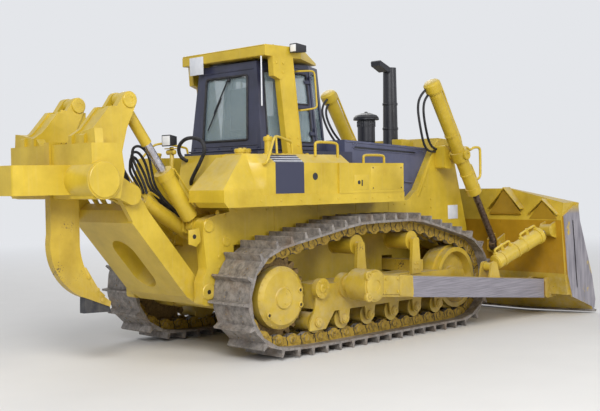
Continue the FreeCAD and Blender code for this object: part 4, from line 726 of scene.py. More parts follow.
for name, bends in (
        ("lower", ((180, 96), (180, 150), (200, 172), (420, 172), (470, 172), (480, 150), (485, 96))),
        ("upper", ((700, 96), (700, 150), (720, 168), (960, 168), (1000, 168), (1012, 150), (1015, 100)))):
    oil_pipe([on_tube(*bend) for bend in bends], 17, "tilt_pipe_" + name, "blade_frame")
# ports, and clamp blocks along the pipes
ports = [turned(on_tube(h, 90), over, ((0, 34), (34, 34), (40, 28), (40, 20)), 6) for h in (180, 485, 700, 1015)]
ports += [turned(on_tube(h, 100), over, ((0, 30), (50, 26), (86, 26), (92, 20)), 4) for h in (330, 850)]
keep(joined(ports), "tilt_cylinder_ports", "blade_frame", "yellow_paint", yellow)


# Blade
# Curved mouldboard closed by a welded box back, stiffened by roof-shaped gussets; wear plates on its ends.
blade_enamel = low_yellow.copy()
blade_enamel.name = "blade_back_enamel"
tree = blade_enamel.node_tree
bsdf = tree.nodes["Principled BSDF"]
painted = bsdf.inputs["Base Color"].links[0].from_socket
place = add(tree, "ShaderNodeTexCoord").outputs["Object"]
across = add(tree, "ShaderNodeSeparateXYZ", {"Vector": place})
face = add(tree, "ShaderNodeSeparateXYZ", {"Vector": add(tree, "ShaderNodeNewGeometry").outputs["Normal"]})
# painted shade: the upright rear faces are darkened to a deeper orange, standing in for the shade they sit in; the
# slope above keeps the plain coat
rear = add(tree, "ShaderNodeMath", {0: face.outputs["X"], 1: -0.985}, operation="LESS_THAN")
deep = add(tree, "ShaderNodeMix", {0: rear.outputs[0], 6: (1, 1, 1, 1), 7: linear("#E8D2A4")}, data_type="RGBA")
shade_darkened_coat = add(tree, "ShaderNodeMix", {0: 1.0, 6: painted, 7: deep.outputs[2]}, data_type="RGBA", blend_type="MULTIPLY")
# the end plates and the face are scoured to bare grey steel by what they push
end = add(tree, "ShaderNodeMath", {0: add(tree, "ShaderNodeMath", {0: across.outputs["Y"]},
                                          operation="ABSOLUTE").outputs[0], 1: 2.058}, operation="GREATER_THAN")
front = add(tree, "ShaderNodeMath", {0: face.outputs["X"], 1: 0.25}, operation="GREATER_THAN")
bare = add(tree, "ShaderNodeMath", {0: end.outputs[0], 1: front.outputs[0]}, operation="MAXIMUM")
ragged = add(tree, "ShaderNodeTexNoise", {"Vector": place, "Scale": 3.0, "Detail": 8.0, "Roughness": 0.65})
worn = add(tree, "ShaderNodeMapRange", {"Value": ragged.outputs["Fac"], "From Min": 0.36, "From Max": 0.42})
high = add(tree, "ShaderNodeMapRange", {"Value": across.outputs["Z"], "From Min": 1.5, "From Max": 1.62,
                                        "To Min": 1.0, "To Max": 0.0})
rubbed = add(tree, "ShaderNodeMath", {0: bare.outputs[0], 1: worn.outputs["Result"]}, operation="MULTIPLY")
rubbed = add(tree, "ShaderNodeMath", {0: rubbed.outputs[0], 1: high.outputs["Result"]}, operation="MULTIPLY")
drawn = add(tree, "ShaderNodeMapping", {"Vector": place, "Scale": (14.0, 14.0, 2.0)})
scratch = add(tree, "ShaderNodeTexNoise", {"Vector": drawn.outputs["Vector"], "Scale": 1.0, "Detail": 8.0})
grey = add(tree, "ShaderNodeValToRGB", {"Fac": scratch.outputs["Fac"]})
ends(grey, "#6E6A72", "#9C979C", 0.3, 0.68)
done = add(tree, "ShaderNodeMix", {0: rubbed.outputs[0], 6: shade_darkened_coat.outputs[2], 7: grey.outputs["Color"]},
           data_type="RGBA")
tree.links.new(done.outputs[2], bsdf.inputs["Base Color"])
dress("blade", blade_enamel)
dress("cutting_edges", shoe_steel)
gussets, caves = [], []
for side in (-1, 1):
    for y, rear_x, half, foot_z, apex_z in ((1110, 4738, 285, 1565, 1872), (1740, 4762, 240, 1485, 1700)):
        for way in (-1, 1):
            # one roof plate of the gusset, from its ridge down to its foot on the slope
            foot_y = side * (y + way * half)
            corners = route((rear_x, side * y, apex_z), (rear_x, foot_y, foot_z),
                            (4806 + 0.29 * (foot_z - 1410), foot_y, foot_z),
                            (4806 + 0.29 * (apex_z - 1410) - 8, side * y, apex_z))
            gussets.append(flame_cut(corners, (0, 0, 20), 0.003))
        # the gusset's open end, a plate in a darker copy of the yellow as painted shade
        caves.append(flame_cut(route((rear_x + 34, side * y, apex_z - 6),
                                     (rear_x + 34, side * (y - half + 12), foot_z - 60),
                                     (rear_x + 34, side * (y + half - 12), foot_z - 60)), (12, 0, 0), 0))
keep(joined(gussets), "blade_gussets", "blade_frame", "yellow_paint", low_yellow)
# a darker copy of the yellow enamel: painted shade on the gussets' open ends
shaded = enamel("shaded_yellow_enamel", ("#8A6A1C", "#A98522"), "#9C8458", 0.45, 0.4)
keep(joined(caves), "blade_gusset_faces", "blade_frame", "yellow_paint", shaded)
# wear strip down each end plate
trims = []
for side in (-1, 1):
    trims.append(flame_cut(at_side(side * 2063, (5060, 1400), (5085, 1400), (5195, 420), (5170, 420)),
                           (0, side * 2, 0), 0))
keep(joined(trims), "blade_end_welds", "blade_frame", "yellow_paint", blade_enamel)
# bush through the eye of the tilt cylinder, and of the brace on the left
eyes = [turned(spot(4723, side * 1940, 1275), (0, -side, 0), ((-8, 70), (0, 82), (170, 82), (178, 70)), 28)
        for side in (-1, 1)]
keep(joined(eyes), "brace_eye_bushes", "blade_frame", "yellow_paint", low_yellow)
# bolts of the cutting edge, following its wings
places = [facing(spot(5404 + max(0, abs(y) - 1100) * 0.311, y, 190), (1, 0, 0.25)) for y in range(-1900, 1901, 380)]
keep(copies(bolt_head(17, washer=False), places), "cutting_edge_bolts", "blade_frame", "worn_steel", shoe_steel)


# Radiator guard
# Plates 30 to 40 mm thick welded round the radiator; the lift cylinders' yokes bolt to its upper corners.
dress("radiator_guard", yellow)
dress("radiator_core", black)
dress("radiator_grille", black)
places = [facing(spot(x, side * 660, z), (0, side, 0)) for side in (-1, 1) for x, z in
          ((3629, 2359), (3719, 2172), (3445, 1930), (3580, 1742), (3578, 1627), (3880, 1180), (4060, 1180),
           (4240, 1180), (3700, 1180))]
keep(copies(bolt_head(18), places), "guard_side_bolts", "chassis", "yellow_paint", yellow)
# plate doubling the guard's rear upper edge
trims = []
for side in (-1, 1):
    trims.append(flame_cut(at_side(side * 659, (3738, 2600), (3700, 2560), (3258, 1790), (3320, 1790), (3790, 2600)),
                           (0, side * 9, 0), 0.003))
keep(joined(trims), "guard_edge_strips", "chassis", "yellow_paint", yellow)
# blank plates: sheet tin, dipped in white enamel that has gone chalky
white = mottled("white_enamelled_tin", ("#C9CCD2", "#E2E3E6"), (0, 1), 0.45, 0, None, Scale=18.0, Detail=5.0)
plates = []
for side in (-1, 1):
    plates.append(flame_cut(at_side(side * 659, (3978, 1642), (4215, 1642), (4220, 1440), (3982, 1440)),
                            (0, side * 5, 0), 0.0015))
keep(joined(plates), "guard_blank_plates", "chassis", "yellow_paint", white)

# bolts of the front frame, down both sides of the grille
places = []
for z in (1500, 1800, 2100, 2400):
    x = 4060 + (2600 - z) * (4440 - 4060) / (2600 - 1300)
    places += [facing(spot(x + 2, y, z), (0.96, 0, 0.28)) for y in (-605, 605)]
keep(copies(bolt_head(15), places), "guard_front_bolts", "chassis", "yellow_paint", yellow)


# Hood
# Folded and welded 4 mm sheet with a pressed oval stiffening rib and a grip bar on each side.
hood_enamel = enamel("slate_hood_enamel", ("#474A60", "#595C74"), "#8F8C8C", 0.52, 0.3)
dress("hood", hood_enamel)
ribs, groove = [], []
for side in (-1, 1):
    ring = at_side(side * 560, (2020, 2466), (2055, 2492), (2700, 2462), (3330, 2432), (3395, 2406), (3360, 2378),
                   (2700, 2408), (2060, 2438))
    rib = flame_cut(ring, (0, side * 9, 0), 0)
    bpy.context.view_layer.objects.active = rib
    bpy.ops.object.mode_set(mode="EDIT")
    faces_where(rib, lambda middle, normal: normal.y * side > 0.9)
    bpy.ops.mesh.inset(thickness=0.012, depth=0)
    bpy.ops.mesh.inset(thickness=0.004, depth=-0.007)
    bpy.ops.object.mode_set(mode="OBJECT")
    ribs.append(rib)
    # rubber strip laid in the rib's groove
    groove.append(flame_cut(at_side(side * 563, (2050, 2462), (2075, 2474), (3325, 2416), (3358, 2404), (3325, 2394),
                                    (2075, 2450)), (0, side * 4, 0), 0))
    for x, z in ((2040, 2512), (2110, 2510), (3470, 2432), (3540, 2428)):
        ribs.append(turned(spot(x, side * 560, z), (0, side, 0), ((0, 15), (5, 14), (7, 9)), 12))
    # grip bar near the front
    ribs.append(turned(spot(3080, side * 574, 1998), (1, 0, -0.05), ((0, 8), (2, 13), (178, 13), (180, 8)), 12))
    for x in (3100, 3240):
        ribs.append(turned(spot(x, side * 560, 1996), (0, side, 0), ((0, 12), (14, 10)), 10))
keep(joined(ribs), "hood_ribs_and_grips", "chassis", "navy_paint", hood_enamel)
keep(joined(groove), "hood_rib_strips", "chassis", "black_paint", black)
seams = [turned(spot(1890, side * 562, 2541), (1800, 0, -92), ((0, 5), (3, 7), (1790, 7), (1793, 5)), 8)
         for side in (-1, 1)]
for x in (2420, 3180):
    # the hood's top falls by a twentieth towards the front
    top = 2566 - (x - 1870) * 0.0505
    seams.append(bead(spot(x, -540, top), spot(x, 540, top), 5, 7, 2))
keep(joined(seams), "hood_seams", "chassis", "navy_paint", hood_enamel)
# small yellow locker on the hood, behind the stack
locker = flame_cut(at_side(-330, (3345, 2455), (3610, 2442), (3610, 2600), (3345, 2612)), (0, 190, 0), 0.012)
keep(locker, "hood_locker", "chassis", "yellow_paint", yellow)


# Exhaust stack
# Rolled and welded steel tube in heat-resisting black, held by two clamps; the air precleaner stands behind it.
dress("exhaust_stack", black)
dress("precleaner", black)
rings = [turned(spot(3490, 0, 2478), (0, 0, 1), ((0, 150), (14, 150), (20, 140), (20, 116)), 36),
         turned(spot(3490, 0, 2760), (0, 0, 1), ((0, 108), (2, 116), (34, 116), (36, 108)), 36),
         turned(spot(3490, 0, 3120), (0, 0, 1), ((0, 104), (2, 112), (34, 112), (36, 104)), 36)]
for h in (2777, 3137):
    rings.append(turned(spot(3490 - 118, 0, h), (0, 1, 0), ((-38, 9), (-36, 12), (36, 12), (38, 9)), 10))
keep(joined(rings), "exhaust_clamps", "chassis", "black_paint", black)
# dust bowl of the air precleaner, with the 24 vanes of its skirt and its lid's nut
bowl = [turned(spot(2950, 0, 2500), (0, 0, 1), ((0, 150), (12, 150), (18, 140), (18, 128)), 36),
        turned(spot(2950, 0, 2885), (0, 0, 1), ((0, 178), (6, 185), (22, 185), (28, 178)), 44)]
for i in range(24):
    a = i * math.tau / 24
    bowl.append(turned(spot(2950 + 128 * math.cos(a), 128 * math.sin(a), 2790), (0, 0, 1), ((0, 8), (80, 8)), 4))
bowl.append(turned(spot(2950, 0, 2990), (0, 0, 1), ((0, 26), (10, 24), (18, 14)), 16))
keep(joined(bowl), "precleaner_bowl", "chassis", "black_paint", black)


# Blade lift cylinders
# Honed tubes hung in trunnion bands, with welded heads, oil ports, bolted glands and steel pipes.
for node in ("lift_barrel_right", "lift_barrel_left"):
    dress(node, yellow)
hands = ((-1, "right"), (1, "left"))
down = Vector((0.5445, 0, -0.8388))
fore = Vector((0.8388, 0, 0.5445))


def on_barrel(side, *places):
    """Places beside a lift cylinder, in metres: down it from its trunnion, ahead of it, and inwards."""
    pivot = spot(3836, side * 985, 2366)
    return [pivot + down * h + fore * out - Vector((0, side * inwards, 0)) for h, out, inwards in places]


for side, word in hands:
    body = "lift_barrel_" + word
    pivot = on_barrel(side, (0, 0, 0))[0]
    # welded head, bands of the trunnion and gland
    parts = [turned(pivot, down, rows, 36) for rows in (
        ((-1196, 90), (-1190, 100), (-1176, 104), (-1164, 98)), ((-1070, 98), (-1066, 109), (-1030, 109), (-1026, 98)),
        ((-360, 96), (-356, 104), (-332, 104), (-328, 96)), ((300, 96), (304, 104), (328, 104), (332, 96)),
        ((640, 100), (643, 106), (656, 106), (660, 60)))]
    for place in on_barrel(side, *((h, 0.08, 0) for h in (-1.12, -0.15, 0.25, 0.6))):
        parts.append(turned(place, fore, ((0, 36), (42, 34), (50, 28), (50, 18)), 6))
    # trunnion caps of the yoke
    for way in (-1, 1):
        parts.append(turned(pivot + Vector((0, way * 0.118, 0)), (0, way, 0),
                            ((-10, 74), (18, 72), (26, 62), (26, 26), (18, 24)), 28))
    keep(joined(parts), "lift_cylinder_fittings_" + word, body, "yellow_paint", yellow)
    places = ring_round(down, fore, pivot + down * 0.660, 0.082, 10)
    places += [facing(place.translation, -down) for place in ring_round(down, fore, pivot - down * 1.19, 0.062, 8)]
    keep(copies(bolt_head(10, washer=False), places), "lift_cylinder_bolts_" + word, body, "yellow_paint", yellow)
    oil_pipe(on_barrel(side, (-1.12, 0.12, 0), (-1.12, 0.165, 0), (-1.04, 0.17, 0), (-0.6, 0.15, 0), (-0.26, 0.15, 0),
                       (-0.18, 0.15, 0), (-0.15, 0.13, 0)), 16, "lift_pipe_upper_" + word, body)
    # pipe bent square round the front of the tube, from the trunnion's swivel to the gland's port
    bends = at_side(side * 1000, (3930, 2470), (3990, 2480), (4050, 2440))
    bends += at_side(side * 985, (4110, 2445), (4180, 2478), (4290, 2482), (4335, 2465), (4345, 2400), (4345, 2130),
                     (4338, 2060), (4290, 2020), (4180, 2010), (4120, 1990), (4070, 1960))
    oil_pipe(bends, 19, "lift_pipe_bow_" + word, body)
    oil_pipe(on_barrel(side, (0.25, 0.12, 0), (0.25, 0.15, 0), (0.30, 0.16, 0), (0.50, 0.16, 0), (0.60, 0.14, 0)), 12,
             "lift_pipe_lower_" + word, body)


def chrome_rod(name, low, high, metal, rough):
    """Ground, hard-chromed steel rod under a film of dirty oil."""
    made, tree, bsdf = finish(name)
    place = add(tree, "ShaderNodeTexCoord").outputs["Object"]
    streak = add(tree, "ShaderNodeTexNoise", {"Vector": place, "Scale": 30.0, "Detail": 6.0})
    ramp = add(tree, "ShaderNodeValToRGB", {"Fac": streak.outputs["Fac"]})
    ends(ramp, low, high, 0.3, 0.7)
    tree.links.new(ramp.outputs["Color"], bsdf.inputs["Base Color"])
    bsdf.inputs["Metallic"].default_value = metal
    shine = add(tree, "ShaderNodeMapRange", {"Value": streak.outputs["Fac"], "To Min": rough, "To Max": rough + 0.2})
    tree.links.new(shine.outputs["Result"], bsdf.inputs["Roughness"])
    return made


# dulled brown by dried grease and dust on the blade's rods; the tilt cylinder's and the ripper's stay bright
oily_rod = chrome_rod("oily_chromed_rod", "#4A3B33", "#85766E", 0.75, 0.25)
bright_rod = chrome_rod("bright_chromed_rod", "#A9A6AC", "#D2D0D6", 1.0, 0.12)
for node in ("lift_rod_right", "lift_rod_left"):
    dress(node, oily_rod)
dress("tilt_rod", bright_rod)


# Fuel tank
# Seam-welded steel tank with sloped sides that hangs behind the cab; two fillers and a work lamp on top.
dress("fuel_tank", yellow)
fillers = [turned(spot(-187, -800, 2345), (0, 0, 1), ((0, 62), (22, 62), (26, 70), (58, 70), (66, 60), (66, 22),
                                                      (76, 20)), 28),
           turned(spot(60, -600, 2345), (0, 0, 1), ((0, 74), (30, 72), (34, 80), (66, 80), (76, 70), (76, 24),
                                                    (88, 20)), 28),
           turned(spot(-187, 800, 2345), (0, 0, 1), ((0, 62), (22, 62), (26, 70), (58, 70), (66, 60)), 28)]
keep(joined(fillers), "tank_fillers", "chassis", "yellow_paint", yellow)
neck = turned(spot(70, -1000, 2345), (0, 0, 1), ((0, 60), (10, 60), (14, 44), (150, 44), (154, 56), (196, 56),
                                                 (204, 46), (204, 18), (222, 16)), 24)
keep(neck, "filler_neck", "chassis", "yellow_paint", yellow)
# handrail of bent steel pipe round each console's rear corner, with a post on the right
for side, name in ((-1, "console_handrail"), (1, "console_handrail_left")):
    bends = [spot(x, side * y, z) for x, y, z in (
        (-188, 1188, 2225), (-188, 1235, 2225), (-150, 1240, 2300), (20, 1150, 2520), (85, 1110, 2545),
        (160, 1080, 2548), (420, 1000, 2500), (474, 985, 2480), (476, 985, 2345))]
    oil_pipe(bends, 15, name, "chassis")
oil_pipe(route((85, -1130, 2345), (85, -1125, 2450), (85, -1118, 2538)), 13, "console_rail_post", "chassis")
welds = [bead(spot(-795, -1212, 1880), spot(-352, -1022, 2342), 4, 7),
         bead(spot(-352, -1022, 2343), spot(-352, -720, 2343), 4, 7)]
keep(joined(welds), "tank_welds", "chassis", "yellow_paint", yellow)
places = [facing(spot(x, side * 1215, 1808), (0, side, 0)) for side in (-1, 1)
          for x in (-250, 60, 380, 700, 1020, 1340, 1660, 1980, 2230)]
places += [facing(spot(x, -660, 2345), (0, 0, 1)) for x in (-250, 20, 290)]
keep(copies(bolt_head(14), places), "fender_bolts", "chassis", "yellow_paint", yellow)

# work lamp on a bracket at the tank's rear: pressed glass lens with flutes, pebbled black plastic housing
lens = mottled("pressed_lamp_glass", ("#CFD2D6", "#F0F0EE"), (0, 1), 0.12, 0, None, kind="ShaderNodeTexWave",
               Scale=18.0, Distortion=0.2)
plastic = mottled("moulded_black_plastic", ("#16161A", "#2A2A30"), (0, 1), 0.5, 0, (0.2, 0.002), Scale=120.0,
                  Detail=2.0)


def lamp_housing(middle, wide, tall, deep, name):
    """A square work lamp facing rearwards: a tapered shell with a rim, and its lens."""
    clear()
    bpy.ops.mesh.primitive_cube_add(size=1, location=middle, scale=(deep / 1000, wide / 1000, tall / 1000))
    shell = bpy.context.object
    bpy.ops.object.transform_apply(location=False, rotation=False, scale=True)
    bpy.ops.object.mode_set(mode="EDIT")
    faces_where(shell, lambda middle, normal: normal.x > 0.9)
    bpy.ops.transform.resize(value=(1, 0.72, 0.72), center_override=middle + Vector((deep / 2000, 0, 0)))
    faces_where(shell, lambda middle, normal: normal.x < -0.9)
    bpy.ops.mesh.inset(thickness=0.010, depth=0)
    bpy.ops.mesh.inset(thickness=0.003, depth=-0.008)
    bpy.ops.object.mode_set(mode="OBJECT")
    soften(shell, 0.006)
    keep(shell, name, "chassis", "black_paint", plastic)
    glass = flame_cut([middle + Vector((-deep / 2000 - 0.002, y * (wide / 2000 - 0.013), z * (tall / 2000 - 0.013)))
                       for y, z in ((-1, -1), (1, -1), (1, 1), (-1, 1))], (9, 0, 0), 0.002)
    keep(glass, name + "_lens", "chassis", "glass", lens)


lamp_housing(spot(-426, 200, 2540), 170, 140, 120, "rear_work_lamp")
mast = [turned(spot(-410, 190, 1935), (0, 0, 1), ((0, 46), (12, 46), (16, 26), (520, 26), (530, 20)), 16)]
mast.append(flame_cut(at_height(2438, (-460, 120), (-360, 120), (-360, 270), (-460, 270)), (0, 0, 12), 0.003))
mast.append(turned(spot(-415, 195, 2400), (0, 1, 0), ((-70, 20), (-66, 30), (66, 30), (70, 20)), 14))
keep(joined(mast), "rear_lamp_mast", "chassis", "yellow_paint", yellow)


# Consoles and side boxes
# Folded 5 mm sheet over the tracks, with hinged lids, bent pipe handles and a painted field of stripes.
striped = yellow.copy()
striped.name = "striped_yellow_enamel"
tree = striped.node_tree
bsdf = tree.nodes["Principled BSDF"]
painted = bsdf.inputs["Base Color"].links[0].from_socket
place = add(tree, "ShaderNodeTexCoord").outputs["Object"]
spots = add(tree, "ShaderNodeSeparateXYZ", {"Vector": place})
aside = add(tree, "ShaderNodeMath", {0: add(tree, "ShaderNodeMath", {0: spots.outputs["Y"]},
                                            operation="ABSOLUTE").outputs[0], 1: 1.06}, operation="GREATER_THAN")
# a dark field on the console's rear end, from its foot over the bevel
start = add(tree, "ShaderNodeMath", {0: spots.outputs["X"], 1: -1.485}, operation="GREATER_THAN")
stop = add(tree, "ShaderNodeMath", {0: spots.outputs["X"], 1: -1.02}, operation="LESS_THAN")
under = add(tree, "ShaderNodeMath", {0: spots.outputs["Z"], 1: 2.335}, operation="LESS_THAN")
above = add(tree, "ShaderNodeMath", {0: spots.outputs["Z"], 1: 1.885}, operation="GREATER_THAN")
field = add(tree, "ShaderNodeMath", {0: start.outputs[0], 1: stop.outputs[0]}, operation="MULTIPLY")
field = add(tree, "ShaderNodeMath", {0: field.outputs[0], 1: under.outputs[0]}, operation="MULTIPLY")
field = add(tree, "ShaderNodeMath", {0: field.outputs[0], 1: above.outputs[0]}, operation="MULTIPLY")
# three pale lines run along the bevel
bands = []
for low_edge, high_edge in ((2.256, 2.268), (2.284, 2.294), (2.310, 2.318)):
    over_low = add(tree, "ShaderNodeMath", {0: spots.outputs["Z"], 1: low_edge}, operation="GREATER_THAN")
    under_high = add(tree, "ShaderNodeMath", {0: spots.outputs["Z"], 1: high_edge}, operation="LESS_THAN")
    bands.append(add(tree, "ShaderNodeMath", {0: over_low.outputs[0], 1: under_high.outputs[0]},
                     operation="MULTIPLY"))
lines = add(tree, "ShaderNodeMath", {0: bands[0].outputs[0], 1: bands[1].outputs[0]}, operation="MAXIMUM")
lines = add(tree, "ShaderNodeMath", {0: lines.outputs[0], 1: bands[2].outputs[0]}, operation="MAXIMUM")
lines = add(tree, "ShaderNodeMath", {0: lines.outputs[0], 1: start.outputs[0]}, operation="MULTIPLY")
lines = add(tree, "ShaderNodeMath", {0: lines.outputs[0], 1: stop.outputs[0]}, operation="MULTIPLY")
marks = add(tree, "ShaderNodeMath", {0: field.outputs[0], 1: aside.outputs[0]}, operation="MULTIPLY")
pale = add(tree, "ShaderNodeMix", {0: lines.outputs[0], 6: linear("#33354A"), 7: linear("#C6C8CC")}, data_type="RGBA")
done = add(tree, "ShaderNodeMix", {0: marks.outputs[0], 6: painted, 7: pale.outputs[2]}, data_type="RGBA")
tree.links.new(done.outputs[2], bsdf.inputs["Base Color"])
dress("side_boxes", yellow)
for node in ("fender_right", "fender_left"):
    dress(node, striped)
for side, word in hands:
    oil_pipe(at_side(side * 1100, (750, 2320), (750, 2440), (752, 2478), (800, 2496), (1090, 2490), (1140, 2470),
                     (1146, 2430), (1146, 2300)), 17, "console_handle_" + word, "chassis")
    oil_pipe(at_side(side * 1150, (1566, 2236), (1566, 2300), (1570, 2330), (1615, 2342), (1920, 2342), (1962, 2326),
                     (1966, 2295), (1966, 2236)), 17, "box_handle_" + word, "chassis")
lids = []
for side in (-1, 1):
    # lids of the front box, and the access plate on the console
    lids.append(flame_cut(at_side(side * 1221, (1304, 2092), (1583, 2092), (1583, 1905), (1304, 1905)),
                          (0, side * 4, 0), 0.0015))
    lids.append(flame_cut(at_side(side * 1221, (1620, 2205), (2245, 2205), (2245, 1900), (1620, 1900)),
                          (0, side * 3, 0), 0.0015))
    lids.append(flame_cut(at_height(2346, (60, side * 1049), (520, side * 1049), (520, side * 790), (60, side * 790)),
                          (0, 0, 5), 0.0015))
keep(joined(lids), "box_lids", "chassis", "yellow_paint", yellow)
locks = []
for side in (-1, 1):
    locks.append(turned(spot(1395, side * 1224, 2000), (0, side, 0), ((0, 26), (4, 25), (6, 20), (6, 8)), 16))
    locks.append(flame_cut(at_side(side * 1224, (1440, 2030), (1456, 2030), (1456, 1955), (1440, 1955)),
                           (0, side * 9, 0), 0.002))
    locks.append(turned(spot(640, side * 1200, 2080), (0, side, 0), ((0, 44), (3, 43), (3, 22), (1, 20)), 20))
    for x, z in ((2215, 1925), (1660, 1925), (2215, 2180), (1660, 2180)):
        locks.append(turned(spot(x, side * 1224, z), (0, side, 0), ((0, 9), (5, 8), (6, 5)), 8))
keep(joined(locks), "box_locks_and_plugs", "chassis", "black_paint", plastic)


# Cab
# Pressed and welded shell sprayed dark grey; toughened glass held by black rubber gaskets.
cab_enamel = enamel("near_black_cab_enamel", ("#282A3B", "#363950"), "#837F7C", 0.52, 0.3)
for node in ("cab_base", "cab_shell", "cab_door_right", "cab_door_left"):
    dress(node, cab_enamel)
# 6 mm toughened glass, tinted in the mass, reflecting a pale sky
pane, tree, bsdf = finish("toughened_tinted_glass")
place = add(tree, "ShaderNodeTexCoord").outputs["Object"]
haze = add(tree, "ShaderNodeTexNoise", {"Vector": place, "Scale": 3.0, "Detail": 6.0})
film = add(tree, "ShaderNodeValToRGB", {"Fac": haze.outputs["Fac"]})
ends(film, "#8FA6AE", "#B4C4C8")
tree.links.new(film.outputs["Color"], bsdf.inputs["Base Color"])
dirt = add(tree, "ShaderNodeMapRange", {"Value": haze.outputs["Fac"], "To Min": 0.02, "To Max": 0.16})
tree.links.new(dirt.outputs["Result"], bsdf.inputs["Roughness"])
# the thin tint lets two thirds of the light through to the seat
bsdf.inputs["Alpha"].default_value = 0.36
for node in ("cab_glass", "door_glass_right", "door_glass_left"):
    dress(node, pane)

# extruded black rubber, matt with dust
rubber = mottled("extruded_black_rubber", ("#131315", "#38373A"), (0.35, 0.7), 0.75, 0, None, Scale=20.0, Detail=6.0)


def gasket(corners, radius, thick, name, body):
    """A rubber strip run round a window: a closed line with rounded corners, both sizes in mm."""
    points = []
    for i, corner in enumerate(corners):
        back = (corners[i - 1] - corner).normalized()
        on = (corners[(i + 1) % len(corners)] - corner).normalized()
        points += [corner + back * radius / 1000, corner, corner + on * radius / 1000]
    keep(meshed(bent_line(points, thick, name, 5, 2, closed=True)), name, body, "black_paint", rubber, angle=60)


def rear_x(z):
    """Where the cab's rear wall stands at a height."""
    return 270 + 64 * (z - 2400) / 1090


def wall_y(z):
    """Where the cab's side walls stand at a height."""
    return 670 - 134 * (z - 2400) / 1090


gasket([spot(rear_x(z) - 3, y, z) for y, z in ((-420, 2540), (420, 2540), (385, 3330), (-385, 3330))], 70, 15,
       "rear_window_gasket", "chassis")
for side, word in hands:
    gasket([spot(x, side * (wall_y(z) + 3), z) for x, z in ((390, 2540), (790, 2540), (790, 3370), (430, 3370))], 45,
           12, "quarter_gasket_" + word, "chassis")
    for z0, z1, part in ((2990, 3370, "upper"), (2510, 2930, "lower")):
        gasket([spot(x, side * (wall_y(z) + 3), z) for x, z in ((930, z0), (1165, z0), (1165, z1), (930, z1))], 30,
               10, "door_gasket_" + part + "_" + word, "door_" + word)

# wiper of the rear window: pressed arm with a spring, and its blade
wiper = [turned(spot(rear_x(3290) - 6, -60, 3290), (-1, 0, 0), ((0, 26), (26, 24), (32, 16)), 16)]
a, b = spot(rear_x(3290) - 34, -60, 3290), spot(rear_x(2890) - 34, 190, 2890)
way = b - a
wiper.append(turned(a, way, ((-20, 7), (0, 11), (way.length * 1000, 7)), 8))
wiper.append(bead(spot(rear_x(3080) - 26, 60, 3080), spot(rear_x(2680) - 26, 305, 2680), 6, 9, sides=6))
keep(joined(wiper), "rear_wiper", "chassis", "black_paint", plastic)

# seams, and the row of bolts round the cab's foot
trims = [bead(spot(250, side * 675, 2420), spot(1250, side * 675, 2420), 8, 11, 2) for side in (-1, 1)]
trims.append(turned(spot(262, -672, 2420), (0, 1, 0), ((0, 8), (2, 11), (1340, 11), (1344, 8)), 8))
for z in (2475, 3400):
    trims.append(bead(spot(rear_x(z) - 2, 60 - wall_y(z), z), spot(rear_x(z) - 2, wall_y(z) - 60, z), 5, 7, 2))
keep(joined(trims), "cab_seams", "chassis", "black_paint", cab_enamel)
places = [facing(spot(262, y, 2440), (-1, 0, 0)) for y in (-600, -360, -120, 120, 360, 600)]
places += [facing(spot(x, side * 672, 2440), (0, side, 0)) for side in (-1, 1) for x in (340, 560, 780, 1240)]
keep(copies(bolt_head(13), places), "cab_foot_bolts", "chassis", "black_paint", cab_enamel)

# doors: pull handle with its latch, and a loop rail of bent pipe
for side, word in hands:
    latch = turned(spot(905, side * (wall_y(2760) + 4), 2760), (0, side, 0),
                   ((0, 34), (10, 34), (14, 28), (14, 12), (10, 10)), 18)
    upper, lower = side * (wall_y(2820) + 10), side * (wall_y(2640) + 10)
    pull = flame_cut(route((893, upper, 2830), (917, upper, 2830), (917, lower, 2650), (893, lower, 2650)),
                     (0, side * 22, 0), 0.006)
    keep(joined([latch, pull]), "door_grip_" + word, "door_" + word, "black_paint", plastic)
    oil_pipe(route((912, side * (wall_y(3385) - 2), 3385), (912, side * (wall_y(3385) + 60), 3386),
                   (912, side * 668, 3388), (930, side * 676, 3390), (1120, side * 680, 3408),
                   (1180, side * 684, 3400), (1188, side * 690, 3350), (1192, side * 712, 3020),
                   (1190, side * 718, 2960), (1150, side * 718, 2935), (940, side * 716, 2905),
                   (914, side * 712, 2902), (912, side * 690, 2901), (912, side * (wall_y(2900) - 2), 2900)), 12,
             "door_loop_rail_" + word, "door_" + word)

# lamp, blank plate and aerial at the roof's rear
lamp_housing(spot(745, -850, 3636), 118, 112, 190, "roof_lamp")
arm = turned(spot(745, -775, 3600), (0, -1, 0), ((0, 26), (10, 26), (14, 14), (30, 14)), 14)
keep(arm, "roof_lamp_bracket", "chassis", "yellow_paint", yellow)
plate = flame_cut(route((243, 350, 3396), (243, 622, 3396), (243, 622, 3622), (243, 350, 3622)), (-5, 0, 0), 0.0015)
keep(plate, "roof_blank_plate", "chassis", "yellow_paint", white)
rod = turned(spot(262, -700, 2930), (0, 0, 1), ((0, 6), (4, 9), (592, 9), (596, 9)), 10)
keep(rod, "aerial_rod", "chassis", "yellow_paint", white)


# Roll bar
# Two rolled hollow posts welded to cast feet and a box roof, bolted down on the fenders.
dress("rops", yellow)
places = [facing(spot(x, side * y, 2361), (0, 0, 1)) for side in (-1, 1) for x in (566, 912) for y in (722, 803)]
places += [facing(spot(x, side * 785, z), (0, side, 0)) for side in (-1, 1)
           for x, z in ((640, 2470), (780, 2470), (636, 2560), (776, 2560))]
places += [facing(spot(x, side * 797, z), (0, side, 0)) for side in (-1, 1)
           for x, z in ((420, 3450), (530, 3450), (530, 3340))]
keep(copies(bolt_head(19), places), "rops_bolts", "chassis", "yellow_paint", yellow)
beads = []
for side in (-1, 1):
    for x0, x1 in ((590, 448), (838, 696)):
        beads.append(bead(spot(x0 + 6, side * 786, 2362), spot(x1 + 6, side * 786, 3524), 4, 6))
    beads.append(bead(spot(262, side * 770, 3655), spot(860, side * 770, 3655), 4, 6))
beads.append(bead(spot(255, -770, 3650), spot(255, 770, 3650), 5, 8))
